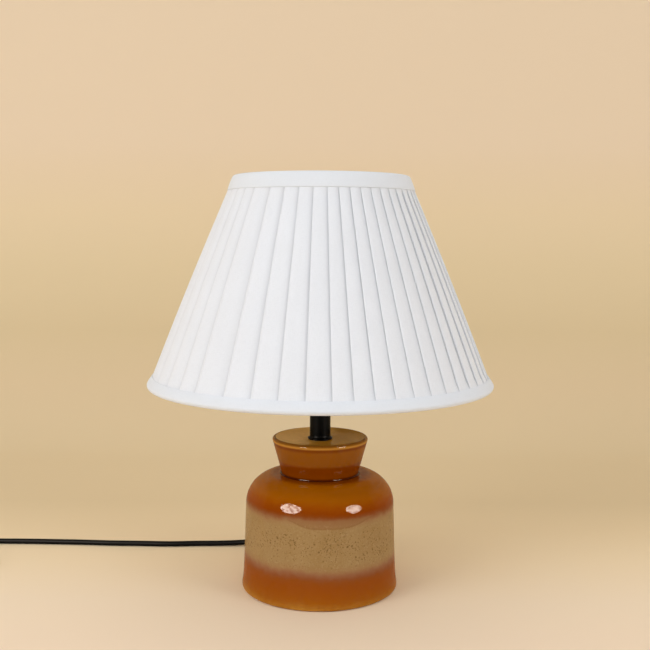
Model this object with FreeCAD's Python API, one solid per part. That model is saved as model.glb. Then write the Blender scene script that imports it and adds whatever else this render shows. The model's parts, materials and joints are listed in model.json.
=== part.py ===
import FreeCAD, Part
import math
import os

from FreeCAD import Vector

# Table lamp: glazed stoneware jar, black stem and lampholder, pleated empire shade.
# Millimetres, +Z up, origin on the lamp's axis at the surface that it stands on.
# The front is -Y. The lead leaves low at the back and runs off to the left, -X.

# Jar, one slip-cast piece, open underneath
felt_thickness = 1.2
foot_radius = 78.6
foot_edge_height = 3.2
foot_edge_bow = 0.6
foot_bulge_radius = 80.3
foot_waist_radius = 78.3
foot_waist_z = 26.0
foot_waist_bow = 0.4
side_top_radius = 76.3
shoulder_start_z = 87.3
shoulder_radius = 30.7
neck_base_radius = 39.4
neck_top_radius = 48.1
neck_straight_top_z = 149.6
rim_radius = 48.8
rim_crest_radius = 46.9
rim_crest_z = 156.0
rim_inner_bow = 0.15
deck_edge_radius = 45.0
deck_edge_z = 155.6
deck_dish_bow = 0.4
deck_seat_radius = 16.0
deck_z = 153.2
jar_wall = 5.0
deck_thickness = 5.2
foot_ledge_radius = 66.0
foot_ledge_height = 7.0
felt_inset = 1.4

# Stem and the threaded tube that clamps it to the jar
tube_radius = 5.0
tube_wall = 1.0
tube_below_deck = 12.0
tube_entry = 18.0
thread_clearance = 0.05
hole_clearance = 0.3
stem_radius = 10.65
stem_wall = 2.0
stem_foot_radius = 12.3
stem_foot_height = 4.5
stem_foot_edge = 1.0
stem_foot_bow = 0.4
stem_height = 52.8
stem_web = 3.0
nut_across_flats = 14.0
nut_height = 5.0
nut_chamfer = 1.0
washer_radius = 13.0
washer_thickness = 1.5

# Lampholder
cap_radius = 17.5
cap_wall = 2.0
cap_hub_height = 8.0
cap_collar_height = 2.0
cap_flare_bow = 0.4
cap_inner_chamfer = 1.5
cap_height = 26.0
shell_radius = 19.6
shell_wall = 2.2
shell_height = 32.0
shell_top_chamfer = 1.0
seat_flange_radius = 24.0
seat_flange_thickness = 3.0
seat_flange_rise = 2.0
flange_chamfer = 0.8
block_height = 13.0
block_drop = 5.0
socket_radius = 13.4
socket_wall = 0.6
socket_depth = 21.0
contact_reach = 9.0
contact_foot = 4.0
contact_crown = 6.0
contact_lip = 1.2
contact_width = 5.0
contact_thickness = 0.8
switch_bar_radius = 3.5
switch_bar_rise = 15.0
switch_bar_long_end = 9.0
switch_bar_short_end = 2.0
switch_bar_dome = 1.2
screw_radius = 1.9
terminal_offset = 9.0
terminal_recess = 1.8
running_clearance = 0.08
seat_gap = 0.1

# Bulb, pearl glass on a screw cap
bulb_cap_radius = 13.3
bulb_cap_height = 24.0
bulb_cap_wall = 0.35
bulb_cap_taper = 1.2
bulb_cap_taper_height = 1.5
bulb_glass_radius = 30.0
bulb_length = 107.0
bulb_glass_wall = 0.9
bulb_neck_radius = 12.9
bulb_neck_depth = 6.0
bulb_neck_rise = 3.0
bulb_flank_swell = 2.6
bulb_flank_drop = 3.0
bulb_blend_angle = -38.0
bulb_side_angle = 22.0
bulb_tip_radius = 4.5
bulb_tip_height = 2.0
bulb_insulator_height = 3.0
bulb_insulator_radius = 8.5
bulb_tip_seat = 0.6
contact_height = 5.5

# Shade frame
top_ring_radius = 85.7
top_ring_z = 417.2
bottom_ring_radius = 172.2
bottom_ring_z = 213.0
ring_wire = 1.8
strut_wire = 1.3
strut_inset = 1.0
strut_clearance = 0.03
strut_skew = 0.2
panel_count = 8
panel_start = 3.5
arm_count = 3
arm_wire = 1.5
arm_level_run = 10.0
arm_start_angle = 90.0
fitter_clearance = 0.3
fitter_thickness = 1.5
fitter_ring_width = 7.0
shade_ring_height = 11.0
shade_ring_wall = 3.2
shade_ring_flange = 6.3
shade_ring_flange_thickness = 2.6
shade_ring_grips = 16
grip_radius = 1.3
grip_depth = 0.6

# Pleated cover: the fold of each pleat stands out at its left edge
left_panel_pleat_count = 5
right_panel_pleat_count = 6
cover_top_seam_z = 406.6
cover_bottom_seam_z = 221.5
cover_top_stand_off = 4.53
cover_bottom_stand_off = 4.1
cover_belly = 1.0
cover_tuck = 6.2
cover_top_tuck = 9.6
pleat_rise = 1.5
pleat_pressed_rise = 0.5
pleat_press_length = 5.5
cover_wall = 0.8

# Bindings folded over the rims
binding_wall = 0.8
binding_clearance = 0.15
top_roll_radius = 4.2
bottom_roll_radius = 3.0
top_binding_inside = 8.0
bottom_binding_inside = 7.0

# Lead
cord_radius = 3.0
core_radius = 1.0
core_offset = 1.5
core_straight = 4.6
sheath_setback = 4.4
floor_clearance = 0.05
relief_azimuth = 118.0
relief_height = 14.0
relief_bush_radius = 5.9
relief_bush_clearance = 0.1
relief_flange_radius = 8.0
relief_flange_thickness = 2.0
relief_flange_edge = 0.6
relief_boot_length = 19.0
relief_boot_root = 5.2
relief_boot_tip = 4.1
relief_inside = 6.0
arc_share = 0.45
relief_stretch = 16.0
coil_start_radius = 43.3
coil_pitch = 6.6
coil_half_turn_count = 6
coil_centre_x = -436.0
coil_centre_y = 77.3
tie_thickness = 0.8
tie_width = 4.0
tie_corner_radius = 2.4
tie_clearance = 0.15
plug_relief_length = 18.0
plug_boot_tip = 3.4
plug_boot_tip_length = 8.0
plug_boot_tip_root = 3.7
plug_boot_root = 5.2
plug_shoulder_length = 4.0
plug_shoulder_half_width = 9.0
plug_shoulder_half_height = 7.6
plug_body_length = 32.0
plug_waist_share = 0.45
plug_waist_inset = 0.8
plug_half_width = 13.0
pin_radius = 2.0
pin_length = 19.0
pin_dome = 1.2
pin_spacing = 19.0

# Heights that follow from the sizes above
jar_foot_z = felt_thickness
shoulder_top_z = shoulder_start_z + shoulder_radius
shoulder_centre_radius = side_top_radius - shoulder_radius
deck_under_z = deck_z - deck_thickness
stem_top_z = deck_z + stem_height
cap_top_z = stem_top_z + cap_height
cap_floor_z = stem_top_z + cap_hub_height
shell_base_z = cap_top_z
seat_z = shell_base_z + seat_flange_rise + seat_flange_thickness
block_base_z = cap_top_z - block_drop
block_top_z = block_base_z + block_height
switch_bar_z = stem_top_z + switch_bar_rise
bulb_base_z = block_top_z + contact_height + seat_gap
fitter_z = seat_z + seat_gap
fitter_inner_radius = shell_radius + fitter_clearance
fitter_outer_radius = fitter_inner_radius + fitter_ring_width
shade_ring_z = fitter_z + fitter_thickness + seat_gap
sheath_end_z = cap_floor_z - sheath_setback
cord_z = cord_radius + floor_clearance
coil_low_z = floor_clearance + tie_thickness + tie_clearance + cord_radius
coil_high_z = coil_low_z + coil_pitch
coil_entry_y = coil_centre_y + coil_start_radius
cord_diameter = 2 * cord_radius

# Direction in which the lead leaves the jar
relief_direction = Vector(math.cos(math.radians(relief_azimuth)), math.sin(math.radians(relief_azimuth)), 0)
relief_seat_radius = (foot_bulge_radius + foot_waist_radius) / 2
relief_tip = relief_direction * (relief_seat_radius + relief_flange_thickness + relief_boot_length)
relief_tip.z = relief_height


def profile(start, *moves):
    """Closed outline in the XZ plane. A move is a point, or a pair of points for an arc."""
    here = Vector(start[0], 0, start[1])
    first = here
    edges = []
    for move in moves:
        if isinstance(move[0], tuple):
            middle = Vector(move[0][0], 0, move[0][1])
            there = Vector(move[1][0], 0, move[1][1])
            edges.append(Part.Arc(here, middle, there).toShape())
        else:
            there = Vector(move[0], 0, move[1])
            edges.append(Part.LineSegment(here, there).toShape())
        here = there
    if here.distanceToPoint(first) > 1e-6:
        edges.append(Part.LineSegment(here, first).toShape())
    return Part.Face(Part.Wire(edges))


def turned(start, *moves):
    """Solid of revolution of a closed outline about the lamp's axis."""
    return profile(start, *moves).revolve(Vector(0, 0, 0), Vector(0, 0, 1), 360)


def bowed(start, end, bow):
    """Arc between two points whose middle stands to the right of the straight line by the bow."""
    half_x = (end[0] - start[0]) / 2
    half_z = (end[1] - start[1]) / 2
    share = bow / math.hypot(half_x, half_z)
    return (start[0] + half_x + share * half_z, start[1] + half_z - share * half_x), end


def ring(inner, outer, low, high):
    """Plain washer or tube about the lamp's axis."""
    return turned((inner, low), (outer, low), (outer, high), (inner, high))


def at_angle(shape, degrees):
    """Copy of a shape turned about the lamp's axis."""
    copy = shape.copy()
    copy.rotate(Vector(0, 0, 0), Vector(0, 0, 1), degrees)
    return copy


def arc_point(centre, radius, degrees):
    """Point on a circle in the outline's plane."""
    angle = math.radians(degrees)
    return (centre[0] + radius * math.cos(angle), centre[1] + radius * math.sin(angle))


def tangent_point(centre, radius, point, side):
    """Where the line from a point touches a circle in the outline's plane, on the given side."""
    dx = point[0] - centre[0]
    dz = point[1] - centre[1]
    away = math.hypot(dx, dz)
    angle = math.degrees(math.atan2(dz, dx)) + side * math.degrees(math.acos(radius / away))
    return arc_point(centre, radius, angle), angle


def rounded_path(points, label):
    """Straight runs joined by tangent arcs as large as the shorter run allows."""
    edges = []
    here = points[0]
    radii = []
    for before, corner, after in zip(points, points[1:], points[2:]):
        incoming = corner - before
        outgoing = after - corner
        trim = arc_share * min(incoming.Length, outgoing.Length)
        half_turn = incoming.getAngle(outgoing) / 2
        radius = trim / math.tan(half_turn)
        incoming.normalize()
        outgoing.normalize()
        arc_start = corner - incoming * trim
        arc_end = corner + outgoing * trim
        inward = outgoing - incoming
        inward.normalize()
        arc_middle = corner + inward * (radius / math.cos(half_turn) - radius)
        edges.append(Part.LineSegment(here, arc_start).toShape())
        edges.append(Part.Arc(arc_start, arc_middle, arc_end).toShape())
        radii.append(round(radius, 1))
        here = arc_end
    edges.append(Part.LineSegment(here, points[-1]).toShape())
    if radii:
        print(label, "bend radii", radii)
    return Part.Wire(edges)


def tube_along(path, radius, label):
    """Round tube along a path, with its volume set against section times length."""
    start = path.OrderedVertexes[0].Point
    heading = path.OrderedEdges[0].tangentAt(path.OrderedEdges[0].FirstParameter)
    section = Part.Wire([Part.Circle(start, heading, radius).toShape()])
    tube = path.makePipeShell([section], True, False)
    expected = math.pi * radius ** 2 * path.Length
    print(label, "length", round(path.Length, 1), "volume ratio", round(tube.Volume / expected, 4))
    return tube


def dome_middle(radius, height):
    """Radius and rise of the middle of a spherical end's outline, measured from its tip."""
    sphere = (radius ** 2 + height ** 2) / (2 * height)
    half_angle = math.atan2(radius, sphere - height) / 2
    return sphere * math.sin(half_angle), sphere * (1 - math.cos(half_angle))


def jar():
    """Body, shoulder, flared neck, rounded rim and dished deck, with one even wall and a foot ledge."""
    shoulder_in = shoulder_radius - jar_wall
    mid = math.sqrt(0.5)
    neck_slope = (neck_top_radius - neck_base_radius) / (neck_straight_top_z - shoulder_top_z)
    neck_inside_base = neck_base_radius - jar_wall
    neck_inside_top = neck_inside_base + neck_slope * (deck_under_z - shoulder_top_z)
    foot_inside_z = jar_foot_z + foot_ledge_height
    foot_edge = (foot_radius, jar_foot_z)
    foot_bulge = (foot_bulge_radius, jar_foot_z + foot_edge_height)
    rim_crest = (rim_crest_radius, rim_crest_z)
    deck_edge = (deck_edge_radius, deck_edge_z)
    body = turned(
        (foot_ledge_radius, jar_foot_z),
        foot_edge,
        bowed(foot_edge, foot_bulge, foot_edge_bow),
        bowed(foot_bulge, (foot_waist_radius, foot_waist_z), -foot_waist_bow),
        (side_top_radius, shoulder_start_z),
        ((shoulder_centre_radius + shoulder_radius * mid, shoulder_start_z + shoulder_radius * mid),
         (shoulder_centre_radius, shoulder_top_z)),
        (neck_base_radius, shoulder_top_z),
        (neck_top_radius, neck_straight_top_z),
        ((rim_radius, (neck_straight_top_z + rim_crest_z) / 2), rim_crest),
        bowed(rim_crest, deck_edge, rim_inner_bow),
        bowed(deck_edge, (deck_seat_radius, deck_z), -deck_dish_bow),
        (tube_radius + hole_clearance, deck_z),
        (tube_radius + hole_clearance, deck_under_z),
        (neck_inside_top, deck_under_z),
        (neck_inside_base, shoulder_top_z - jar_wall),
        (shoulder_centre_radius, shoulder_top_z - jar_wall),
        ((shoulder_centre_radius + shoulder_in * mid, shoulder_start_z + shoulder_in * mid),
         (side_top_radius - jar_wall, shoulder_start_z)),
        (foot_waist_radius - jar_wall, foot_waist_z),
        (foot_waist_radius - jar_wall, foot_inside_z + jar_wall),
        (foot_ledge_radius, foot_inside_z))
    hole = Part.makeCylinder(relief_bush_radius + relief_bush_clearance, foot_bulge_radius,
                             Vector(0, 0, relief_height), relief_direction)
    return body.cut(hole)


def foot_felt():
    return ring(foot_ledge_radius + felt_inset, foot_radius - felt_inset, 0, felt_thickness)


def along_relief(shape):
    """Puts a piece turned about +Z onto the line along which the lead leaves the jar."""
    copy = shape.copy()
    copy.rotate(Vector(0, 0, 0), Vector(0, 1, 0), 90)
    copy.rotate(Vector(0, 0, 0), Vector(0, 0, 1), relief_azimuth)
    copy.translate(Vector(0, 0, relief_height))
    return copy


def cord_relief():
    """Bush through the jar's wall, a flange shaped to the wall outside and a tapered boot round the lead."""
    bore = cord_radius + thread_clearance
    inner_end = foot_waist_radius - jar_wall - relief_inside
    flange_back = foot_waist_radius - relief_flange_thickness
    boot_start = relief_seat_radius + relief_flange_thickness
    boot_end = boot_start + relief_boot_length
    bush = along_relief(turned(
        (bore, inner_end),
        (relief_bush_radius, inner_end),
        (relief_bush_radius, flange_back),
        (relief_flange_radius, flange_back),
        (relief_flange_radius, boot_start - relief_flange_edge),
        (relief_flange_radius - relief_flange_edge, boot_start),
        (relief_boot_root, boot_start),
        (relief_boot_tip, boot_end),
        (bore, boot_end)))
    return bush.cut(jar())


def threaded_tube():
    return ring(tube_radius - tube_wall, tube_radius, deck_under_z - tube_below_deck, cap_floor_z)


def deck_washer():
    return ring(tube_radius + hole_clearance, washer_radius, deck_under_z - washer_thickness, deck_under_z)


def deck_nut():
    """Hexagon nut with chamfered corners, drawn up against the washer."""
    top = deck_under_z - washer_thickness
    corner_radius = nut_across_flats / math.sqrt(3)
    corners = [Vector(corner_radius, 0, top - nut_height)]
    for corner in range(1, 7):
        corners.append(at_angle(Part.Vertex(corners[0]), 60 * corner).Point)
    blank = Part.Face(Part.makePolygon(corners)).extrude(Vector(0, 0, nut_height))
    chamfer = turned((0, top - nut_height), (nut_across_flats / 2, top - nut_height),
                     (corner_radius, top - nut_height + nut_chamfer), (corner_radius, top), (0, top))
    bore = Part.makeCylinder(tube_radius + thread_clearance, nut_height, Vector(0, 0, top - nut_height))
    return blank.common(chamfer).cut(bore)


def stem():
    """Moulded sleeve with a flared foot, hollow between two webs that centre it on the tube."""
    bore = tube_radius + hole_clearance
    inside = stem_radius - stem_wall
    foot_edge = (stem_foot_radius, deck_z + stem_foot_edge)
    return turned(
        (bore, deck_z), (stem_foot_radius, deck_z), foot_edge,
        bowed(foot_edge, (stem_radius, deck_z + stem_foot_height), -stem_foot_bow),
        (stem_radius, stem_top_z), (bore, stem_top_z), (bore, stem_top_z - stem_web),
        (inside, stem_top_z - stem_web), (inside, deck_z + stem_web), (bore, deck_z + stem_web))


def holder_cap():
    """Lower cup of the lampholder: threaded hub, flared shoulder and two holes for the switch bar."""
    bore = tube_radius + thread_clearance
    inside = cap_radius - cap_wall
    collar = (stem_radius, stem_top_z + cap_collar_height)
    cup = turned(
        (bore, stem_top_z), (stem_radius, stem_top_z), collar,
        bowed(collar, (cap_radius, cap_floor_z), -cap_flare_bow),
        (cap_radius, cap_top_z), (inside, cap_top_z), (inside, cap_floor_z + cap_inner_chamfer),
        (inside - cap_inner_chamfer, cap_floor_z), (bore, cap_floor_z))
    bar_hole = Part.makeCylinder(switch_bar_radius + running_clearance, 2 * cap_radius,
                                 Vector(-cap_radius, 0, switch_bar_z), Vector(1, 0, 0))
    return cup.cut(bar_hole)


def switch_bar():
    """Push-through bar with domed ends, shown with its long end to the right."""
    start = -cap_radius - switch_bar_short_end
    end = cap_radius + switch_bar_long_end
    middle, rise = dome_middle(switch_bar_radius, switch_bar_dome)
    bar = turned((0, start), ((middle, start + rise), (switch_bar_radius, start + switch_bar_dome)),
                 (switch_bar_radius, end - switch_bar_dome), ((middle, end - rise), (0, end)))
    bar.rotate(Vector(0, 0, 0), Vector(0, 1, 0), 90)
    bar.translate(Vector(0, 0, switch_bar_z))
    return bar


def terminal_block():
    """Moulded insulator inside cap and shell, with two screw wells."""
    radius = cap_radius - cap_wall - running_clearance
    block = Part.makeCylinder(radius, block_height, Vector(0, 0, block_base_z))
    for side in (-1, 1):
        well = Part.makeCylinder(screw_radius + running_clearance, block_height / 2,
                                 Vector(0, side * terminal_offset, block_base_z))
        block = block.cut(well)
    return block


def terminal_screws():
    """Two screws up the block's wells, each holding the end of one core."""
    screws = []
    for side in (-1, 1):
        foot = Vector(0, side * terminal_offset, block_base_z + terminal_recess)
        screws.append(Part.makeCylinder(screw_radius, block_height / 2 - terminal_recess, foot))
    return Part.makeCompound(screws)


def thread_shell():
    """Screw shell for the bulb, seated on the block."""
    return ring(socket_radius, socket_radius + socket_wall, block_top_z, block_top_z + socket_depth)


def centre_contact():
    """Sprung strip on the block, its middle raised to meet the bulb's tip."""
    rise = contact_height - contact_thickness
    crown = contact_crown / 2
    low = [(-contact_reach, 0), (-contact_reach + contact_foot, 0), (-crown, rise), (crown, rise),
           (crown + contact_lip, rise - contact_lip)]
    high = [(x, z + contact_thickness) for x, z in reversed(low)]
    points = [Vector(x, -contact_width / 2, block_top_z + z) for x, z in low + high + low[:1]]
    return Part.Face(Part.makePolygon(points)).extrude(Vector(0, contact_width, 0))


def holder_shell():
    """Threaded outer shell with the flange that carries the shade."""
    block_space = cap_radius - cap_wall + running_clearance
    socket_space = socket_radius + socket_wall + running_clearance
    top = shell_base_z + shell_height
    flange_low = shell_base_z + seat_flange_rise
    return turned(
        (block_space, shell_base_z), (shell_radius, shell_base_z), (shell_radius, flange_low),
        (seat_flange_radius - flange_chamfer, flange_low), (seat_flange_radius, flange_low + flange_chamfer),
        (seat_flange_radius, seat_z), (shell_radius, seat_z), (shell_radius, top - shell_top_chamfer),
        (shell_radius - shell_top_chamfer, top), (socket_space, top), (socket_space, block_top_z),
        (block_space, block_top_z))


def shade_ring():
    """Ring nut with finger grips that clamps the shade's fitter ring on the flange."""
    inside = shell_radius + running_clearance
    body = inside + shade_ring_wall
    flange = inside + shade_ring_flange
    top = shade_ring_z + shade_ring_height
    flange_top = shade_ring_z + shade_ring_flange_thickness
    nut = turned((inside, shade_ring_z), (flange, shade_ring_z), (flange, flange_top - flange_chamfer),
                 (flange - flange_chamfer, flange_top), (body, flange_top), (body, top - flange_chamfer),
                 (body - flange_chamfer, top), (inside, top))
    groove = Part.makeCylinder(grip_radius, shade_ring_height,
                               Vector(body + grip_radius - grip_depth, 0, flange_top))
    for grip in range(shade_ring_grips):
        nut = nut.cut(at_angle(groove, 360 * grip / shade_ring_grips))
    return nut


def bulb_cap():
    """Screw shell of the bulb, open at the top where the glass goes in."""
    base = bulb_base_z + bulb_tip_height + bulb_insulator_height
    top = bulb_base_z + bulb_cap_height
    inside = bulb_cap_radius - bulb_cap_wall
    floor = base + bulb_cap_wall
    return turned((bulb_insulator_radius, base), (bulb_cap_radius - bulb_cap_taper, base),
                  (bulb_cap_radius, base + bulb_cap_taper_height), (bulb_cap_radius, top), (inside, top),
                  (inside, floor + bulb_cap_taper_height), (inside - bulb_cap_taper, floor),
                  (bulb_insulator_radius, floor))


def bulb_insulator():
    """Glass insulator between screw shell and tip."""
    base = bulb_base_z + bulb_tip_height
    top = base + bulb_insulator_height
    return turned((0, base), (bulb_tip_radius + bulb_tip_seat, base), (bulb_insulator_radius, top), (0, top))


def bulb_contact():
    """Soldered tip under the insulator."""
    top = bulb_base_z + bulb_tip_height
    middle, rise = dome_middle(bulb_tip_radius, bulb_tip_height)
    return turned((0, bulb_base_z), ((middle, bulb_base_z + rise), (bulb_tip_radius, top)), (0, top))


def bulb_glass():
    """Pear-shaped envelope with an even wall, its neck end inside the cap."""
    top = bulb_base_z + bulb_length
    globe_z = top - bulb_glass_radius
    inner_radius = bulb_glass_radius - bulb_glass_wall
    neck_low = bulb_base_z + bulb_cap_height - bulb_neck_depth
    neck_top = bulb_base_z + bulb_cap_height + bulb_neck_rise
    blend = arc_point((0, globe_z), bulb_glass_radius, bulb_blend_angle)
    blend_in = arc_point((0, globe_z), inner_radius, bulb_blend_angle)
    flank = (bulb_neck_radius + bulb_flank_swell, (neck_top + blend[1]) / 2 - bulb_flank_drop)
    flank_in = (flank[0] - bulb_glass_wall, flank[1])
    side = arc_point((0, globe_z), bulb_glass_radius, bulb_side_angle)
    side_in = arc_point((0, globe_z), inner_radius, bulb_side_angle)
    neck_in = bulb_neck_radius - bulb_glass_wall
    return turned((neck_in, neck_low), (bulb_neck_radius, neck_low), (bulb_neck_radius, neck_top),
                  (flank, blend), (side, (0, top)), (0, top - bulb_glass_wall),
                  (side_in, blend_in), (flank_in, (neck_in, neck_top)))


def cover_radius(z):
    """Radius of the pleats' outer folds at a height: a cone round the struts, slightly full in the middle."""
    share = (cover_top_seam_z - z) / (cover_top_seam_z - cover_bottom_seam_z)
    stand_off = cover_top_stand_off + share * (cover_bottom_stand_off - cover_top_stand_off)
    inside_seams = min(max(share, 0), 1)
    return strut_radius(z) + stand_off + cover_belly * math.sin(math.pi * inside_seams)


def pleat_angles():
    """Fold angles, panel by panel: the panels right of the front one hold more pleats."""
    panel = 360 / panel_count
    angles = []
    for index in range(panel_count):
        pleats = right_panel_pleat_count if index < panel_count / 2 else left_panel_pleat_count
        for pleat in range(pleats):
            angles.append(panel_start - 90 + panel * index + panel * pleat / pleats)
    return angles


def pleat_ring(z, rise, inset):
    """Closed saw-tooth outline at one height: out at each fold, then falling away to the next one."""
    angles = pleat_angles()
    high = cover_radius(z) - inset
    low = high - rise
    corners = []
    for start, end in zip(angles, angles[1:] + [angles[0] + 360]):
        for radius, angle in ((high, start), (low, end)):
            turn = math.radians(angle)
            corners.append(Vector(radius * math.cos(turn), radius * math.sin(turn), z))
    corners.append(corners[0])
    return Part.makePolygon(corners)


def shade_cover():
    """Knife-pleated cloth, pressed flat where the bindings hold it."""
    top = cover_top_seam_z + cover_top_tuck
    bottom = cover_bottom_seam_z - cover_tuck
    middle = (cover_top_seam_z + cover_bottom_seam_z) / 2
    stations = [(top, pleat_pressed_rise), (cover_top_seam_z, pleat_pressed_rise),
                (cover_top_seam_z - pleat_press_length, pleat_rise), (middle, pleat_rise),
                (cover_bottom_seam_z + pleat_press_length, pleat_rise),
                (cover_bottom_seam_z, pleat_pressed_rise), (bottom, pleat_pressed_rise)]
    outer = Part.makeLoft([pleat_ring(z, rise, 0) for z, rise in stations], True, True)
    inner = Part.makeLoft([pleat_ring(z, rise, cover_wall) for z, rise in stations], True, True)
    return outer.cut(inner)


def wire_ring(radius, z):
    return Part.makeTorus(radius, ring_wire, Vector(0, 0, z))


def strut_low_radius():
    """Where a strut's centre line lies beside the bottom ring, a wire's thickness inside it."""
    rise = top_ring_z - bottom_ring_z
    lean = math.atan((bottom_ring_radius - top_ring_radius) / rise)
    return bottom_ring_radius - (ring_wire + strut_wire + strut_clearance) / math.cos(lean)


def strut_radius(z):
    """Radius of a strut's centre line at a height."""
    share = (top_ring_z - z) / (top_ring_z - bottom_ring_z)
    high = top_ring_radius - strut_inset
    return high + share * (strut_low_radius() - high)


def strut_angles():
    panel = 360 / panel_count
    return [panel_start - 90 + panel * index for index in range(panel_count)]


def strut_bar(wire):
    """Plain bar along a strut's centre line, from the bottom ring's height to the top ring's."""
    low = Vector(strut_radius(bottom_ring_z), 0, bottom_ring_z)
    high = Vector(strut_radius(top_ring_z), 0, top_ring_z)
    along = high - low
    return Part.makeCylinder(wire, along.Length, low, along)


def struts():
    """Straight wires at the panel joints, butted under the top ring and soldered inside the bottom one."""
    bar = strut_bar(strut_wire).cut(wire_ring(top_ring_radius, top_ring_z))
    bar = max(bar.Solids, key=lambda solid: solid.Volume)
    return Part.makeCompound([at_angle(bar, angle) for angle in strut_angles()])


def fitter_arm(wire):
    """One arm from the fitter ring's edge, level at first and then down to the bottom ring."""
    level = fitter_z + fitter_thickness / 2
    start = Vector(fitter_outer_radius, 0, level)
    bend = Vector(fitter_outer_radius + arm_level_run, 0, level)
    end = Vector(bottom_ring_radius, 0, bottom_ring_z)
    path = rounded_path([start, bend, end], "fitter arm")
    return tube_along(path, wire, "fitter arm")


def arm_angles():
    return [arm_start_angle + 360 / arm_count * index for index in range(arm_count)]


def fitter_arms():
    """Three cranked wires, butted against the bottom ring and the fitter ring's edge."""
    arm = fitter_arm(arm_wire).cut(wire_ring(bottom_ring_radius, bottom_ring_z))
    arm = max(arm.Solids, key=lambda solid: solid.Volume)
    return Part.makeCompound([at_angle(arm, angle) for angle in arm_angles()])


def fitter_ring():
    """Flat ring that the arms carry, clamped between the lampholder's flange and the ring nut."""
    return ring(fitter_inner_radius, fitter_outer_radius, fitter_z, fitter_z + fitter_thickness)


def folded_band(ring_at, roll, outer_edge, inner_edge, upward):
    """Cloth band folded over a rim: two leaves tangent to a roll round the ring wire."""
    inner_roll = roll - binding_wall
    side = 1 if upward else -1
    cloth = []
    for radius, shift in ((roll, 0), (inner_roll, binding_wall)):
        out_point = (outer_edge[0] - shift, outer_edge[1])
        in_point = (inner_edge[0] + shift, inner_edge[1])
        out_touch, out_angle = tangent_point(ring_at, radius, out_point, side)
        in_touch, in_angle = tangent_point(ring_at, radius, in_point, -side)
        crown = arc_point(ring_at, radius, 90 * side)
        cloth.append((out_point, out_touch, crown, in_touch, in_point))
    skin, lining = cloth
    return turned(skin[0], skin[1], (skin[2], skin[3]), skin[4],
                  lining[4], lining[3], (lining[2], lining[1]), lining[0])


def top_binding():
    """Band over the top rim, its inner leaf passing inside the struts."""
    outer = cover_radius(cover_top_seam_z) + binding_clearance + binding_wall
    inner_z = top_ring_z - top_binding_inside
    inner = strut_radius(inner_z) - strut_wire - strut_skew - binding_clearance - binding_wall
    return folded_band((top_ring_radius, top_ring_z), top_roll_radius, (outer, cover_top_seam_z),
                       (inner, inner_z), True)


def bottom_binding():
    """Band over the bottom rim, its inner leaf glued to the cover and snipped round struts and arms."""
    outer = cover_radius(cover_bottom_seam_z) + binding_clearance + binding_wall
    inner_z = bottom_ring_z + bottom_binding_inside
    widest_pleat = math.radians(360 / panel_count / left_panel_pleat_count)
    flat_depth = cover_radius(inner_z) * (1 - math.cos(widest_pleat / 2))
    inner = cover_radius(inner_z) - cover_wall - pleat_pressed_rise - flat_depth
    inner = inner - binding_clearance - binding_wall
    band = folded_band((bottom_ring_radius, bottom_ring_z), bottom_roll_radius,
                       (outer, cover_bottom_seam_z), (inner, inner_z), False)
    arm_slit = fitter_arm(arm_wire + binding_clearance)
    for angle in arm_angles():
        band = band.cut(at_angle(arm_slit, angle))
    strut_slit = strut_bar(strut_wire + binding_clearance)
    for angle in strut_angles():
        band = band.cut(at_angle(strut_slit, angle))
    return band


def inner_cord():
    """The lead inside the boot, across the jar and up through the tube to the lampholder."""
    tube_foot = deck_under_z - tube_below_deck
    route = [(58.0, relief_height), (33.0, 21.0), (14.0, 44.0), (3.0, 80.0)]
    points = [relief_tip]
    points += [relief_direction * away + Vector(0, 0, z) for away, z in route]
    points += [Vector(0, 0, tube_foot - tube_entry), Vector(0, 0, sheath_end_z)]
    return tube_along(rounded_path(points, "inner cord"), cord_radius, "inner cord")


def core(side):
    """One insulated core from the end of the sheath round the switch bar to its terminal."""
    points = [Vector(0, side * core_offset, sheath_end_z),
              Vector(0, side * core_offset, sheath_end_z + core_straight),
              Vector(0, side * terminal_offset, switch_bar_z),
              Vector(0, side * terminal_offset, block_base_z + terminal_recess)]
    return tube_along(rounded_path(points, "core"), core_radius, "core")


def cord():
    """Free lead: out of the boot, down to the table, round to the left and off to the coil."""
    points = [relief_tip,
              relief_tip + relief_direction * relief_stretch,
              Vector(-67.7, 116.1, 7.8), Vector(-87.2, 123.6, 3.9), Vector(-116.0, 122.6, cord_z),
              Vector(-146.0, 120.6, cord_z), Vector(-176.0, 118.4, cord_z), Vector(-208.0, 118.6, cord_z),
              Vector(-242.0, 121.0, cord_z), Vector(-278.0, 122.5, cord_z), Vector(-314.0, 122.0, cord_z),
              Vector(-346.0, 120.9, cord_z), Vector(-374.0, 120.7, cord_z),
              Vector(-402.0, coil_entry_y, coil_low_z),
              Vector(coil_centre_x + cord_diameter, coil_entry_y, coil_low_z)]
    return tube_along(rounded_path(points, "cord"), cord_radius, "cord")


def coil_path():
    """Half turns that wind inwards, climb a layer on the innermost one and wind out again."""
    here = Vector(coil_centre_x, coil_entry_y, coil_low_z)
    straight = Vector(cord_diameter, 0, 0)
    edges = [Part.LineSegment(here + straight, here).toShape()]
    inwards = list(range(coil_half_turn_count))
    for count, steps in enumerate(inwards + [coil_half_turn_count] + inwards[::-1]):
        radius = coil_start_radius - steps * coil_pitch / 2
        side = 1 if count % 2 == 0 else -1
        climb = coil_pitch if count == coil_half_turn_count else 0
        across = Vector(0, -2 * side * radius, climb)
        middle = here + across * 0.5 + Vector(-side * across.Length / 2, 0, 0)
        edges.append(Part.Arc(here, middle, here + across).toShape())
        here = here + across
    edges.append(Part.LineSegment(here, here + straight).toShape())
    return Part.Wire(edges)


def coil_end():
    """Where the coil's upper layer ends and the plug's boot begins."""
    return coil_path().OrderedVertexes[-1].Point


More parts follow.
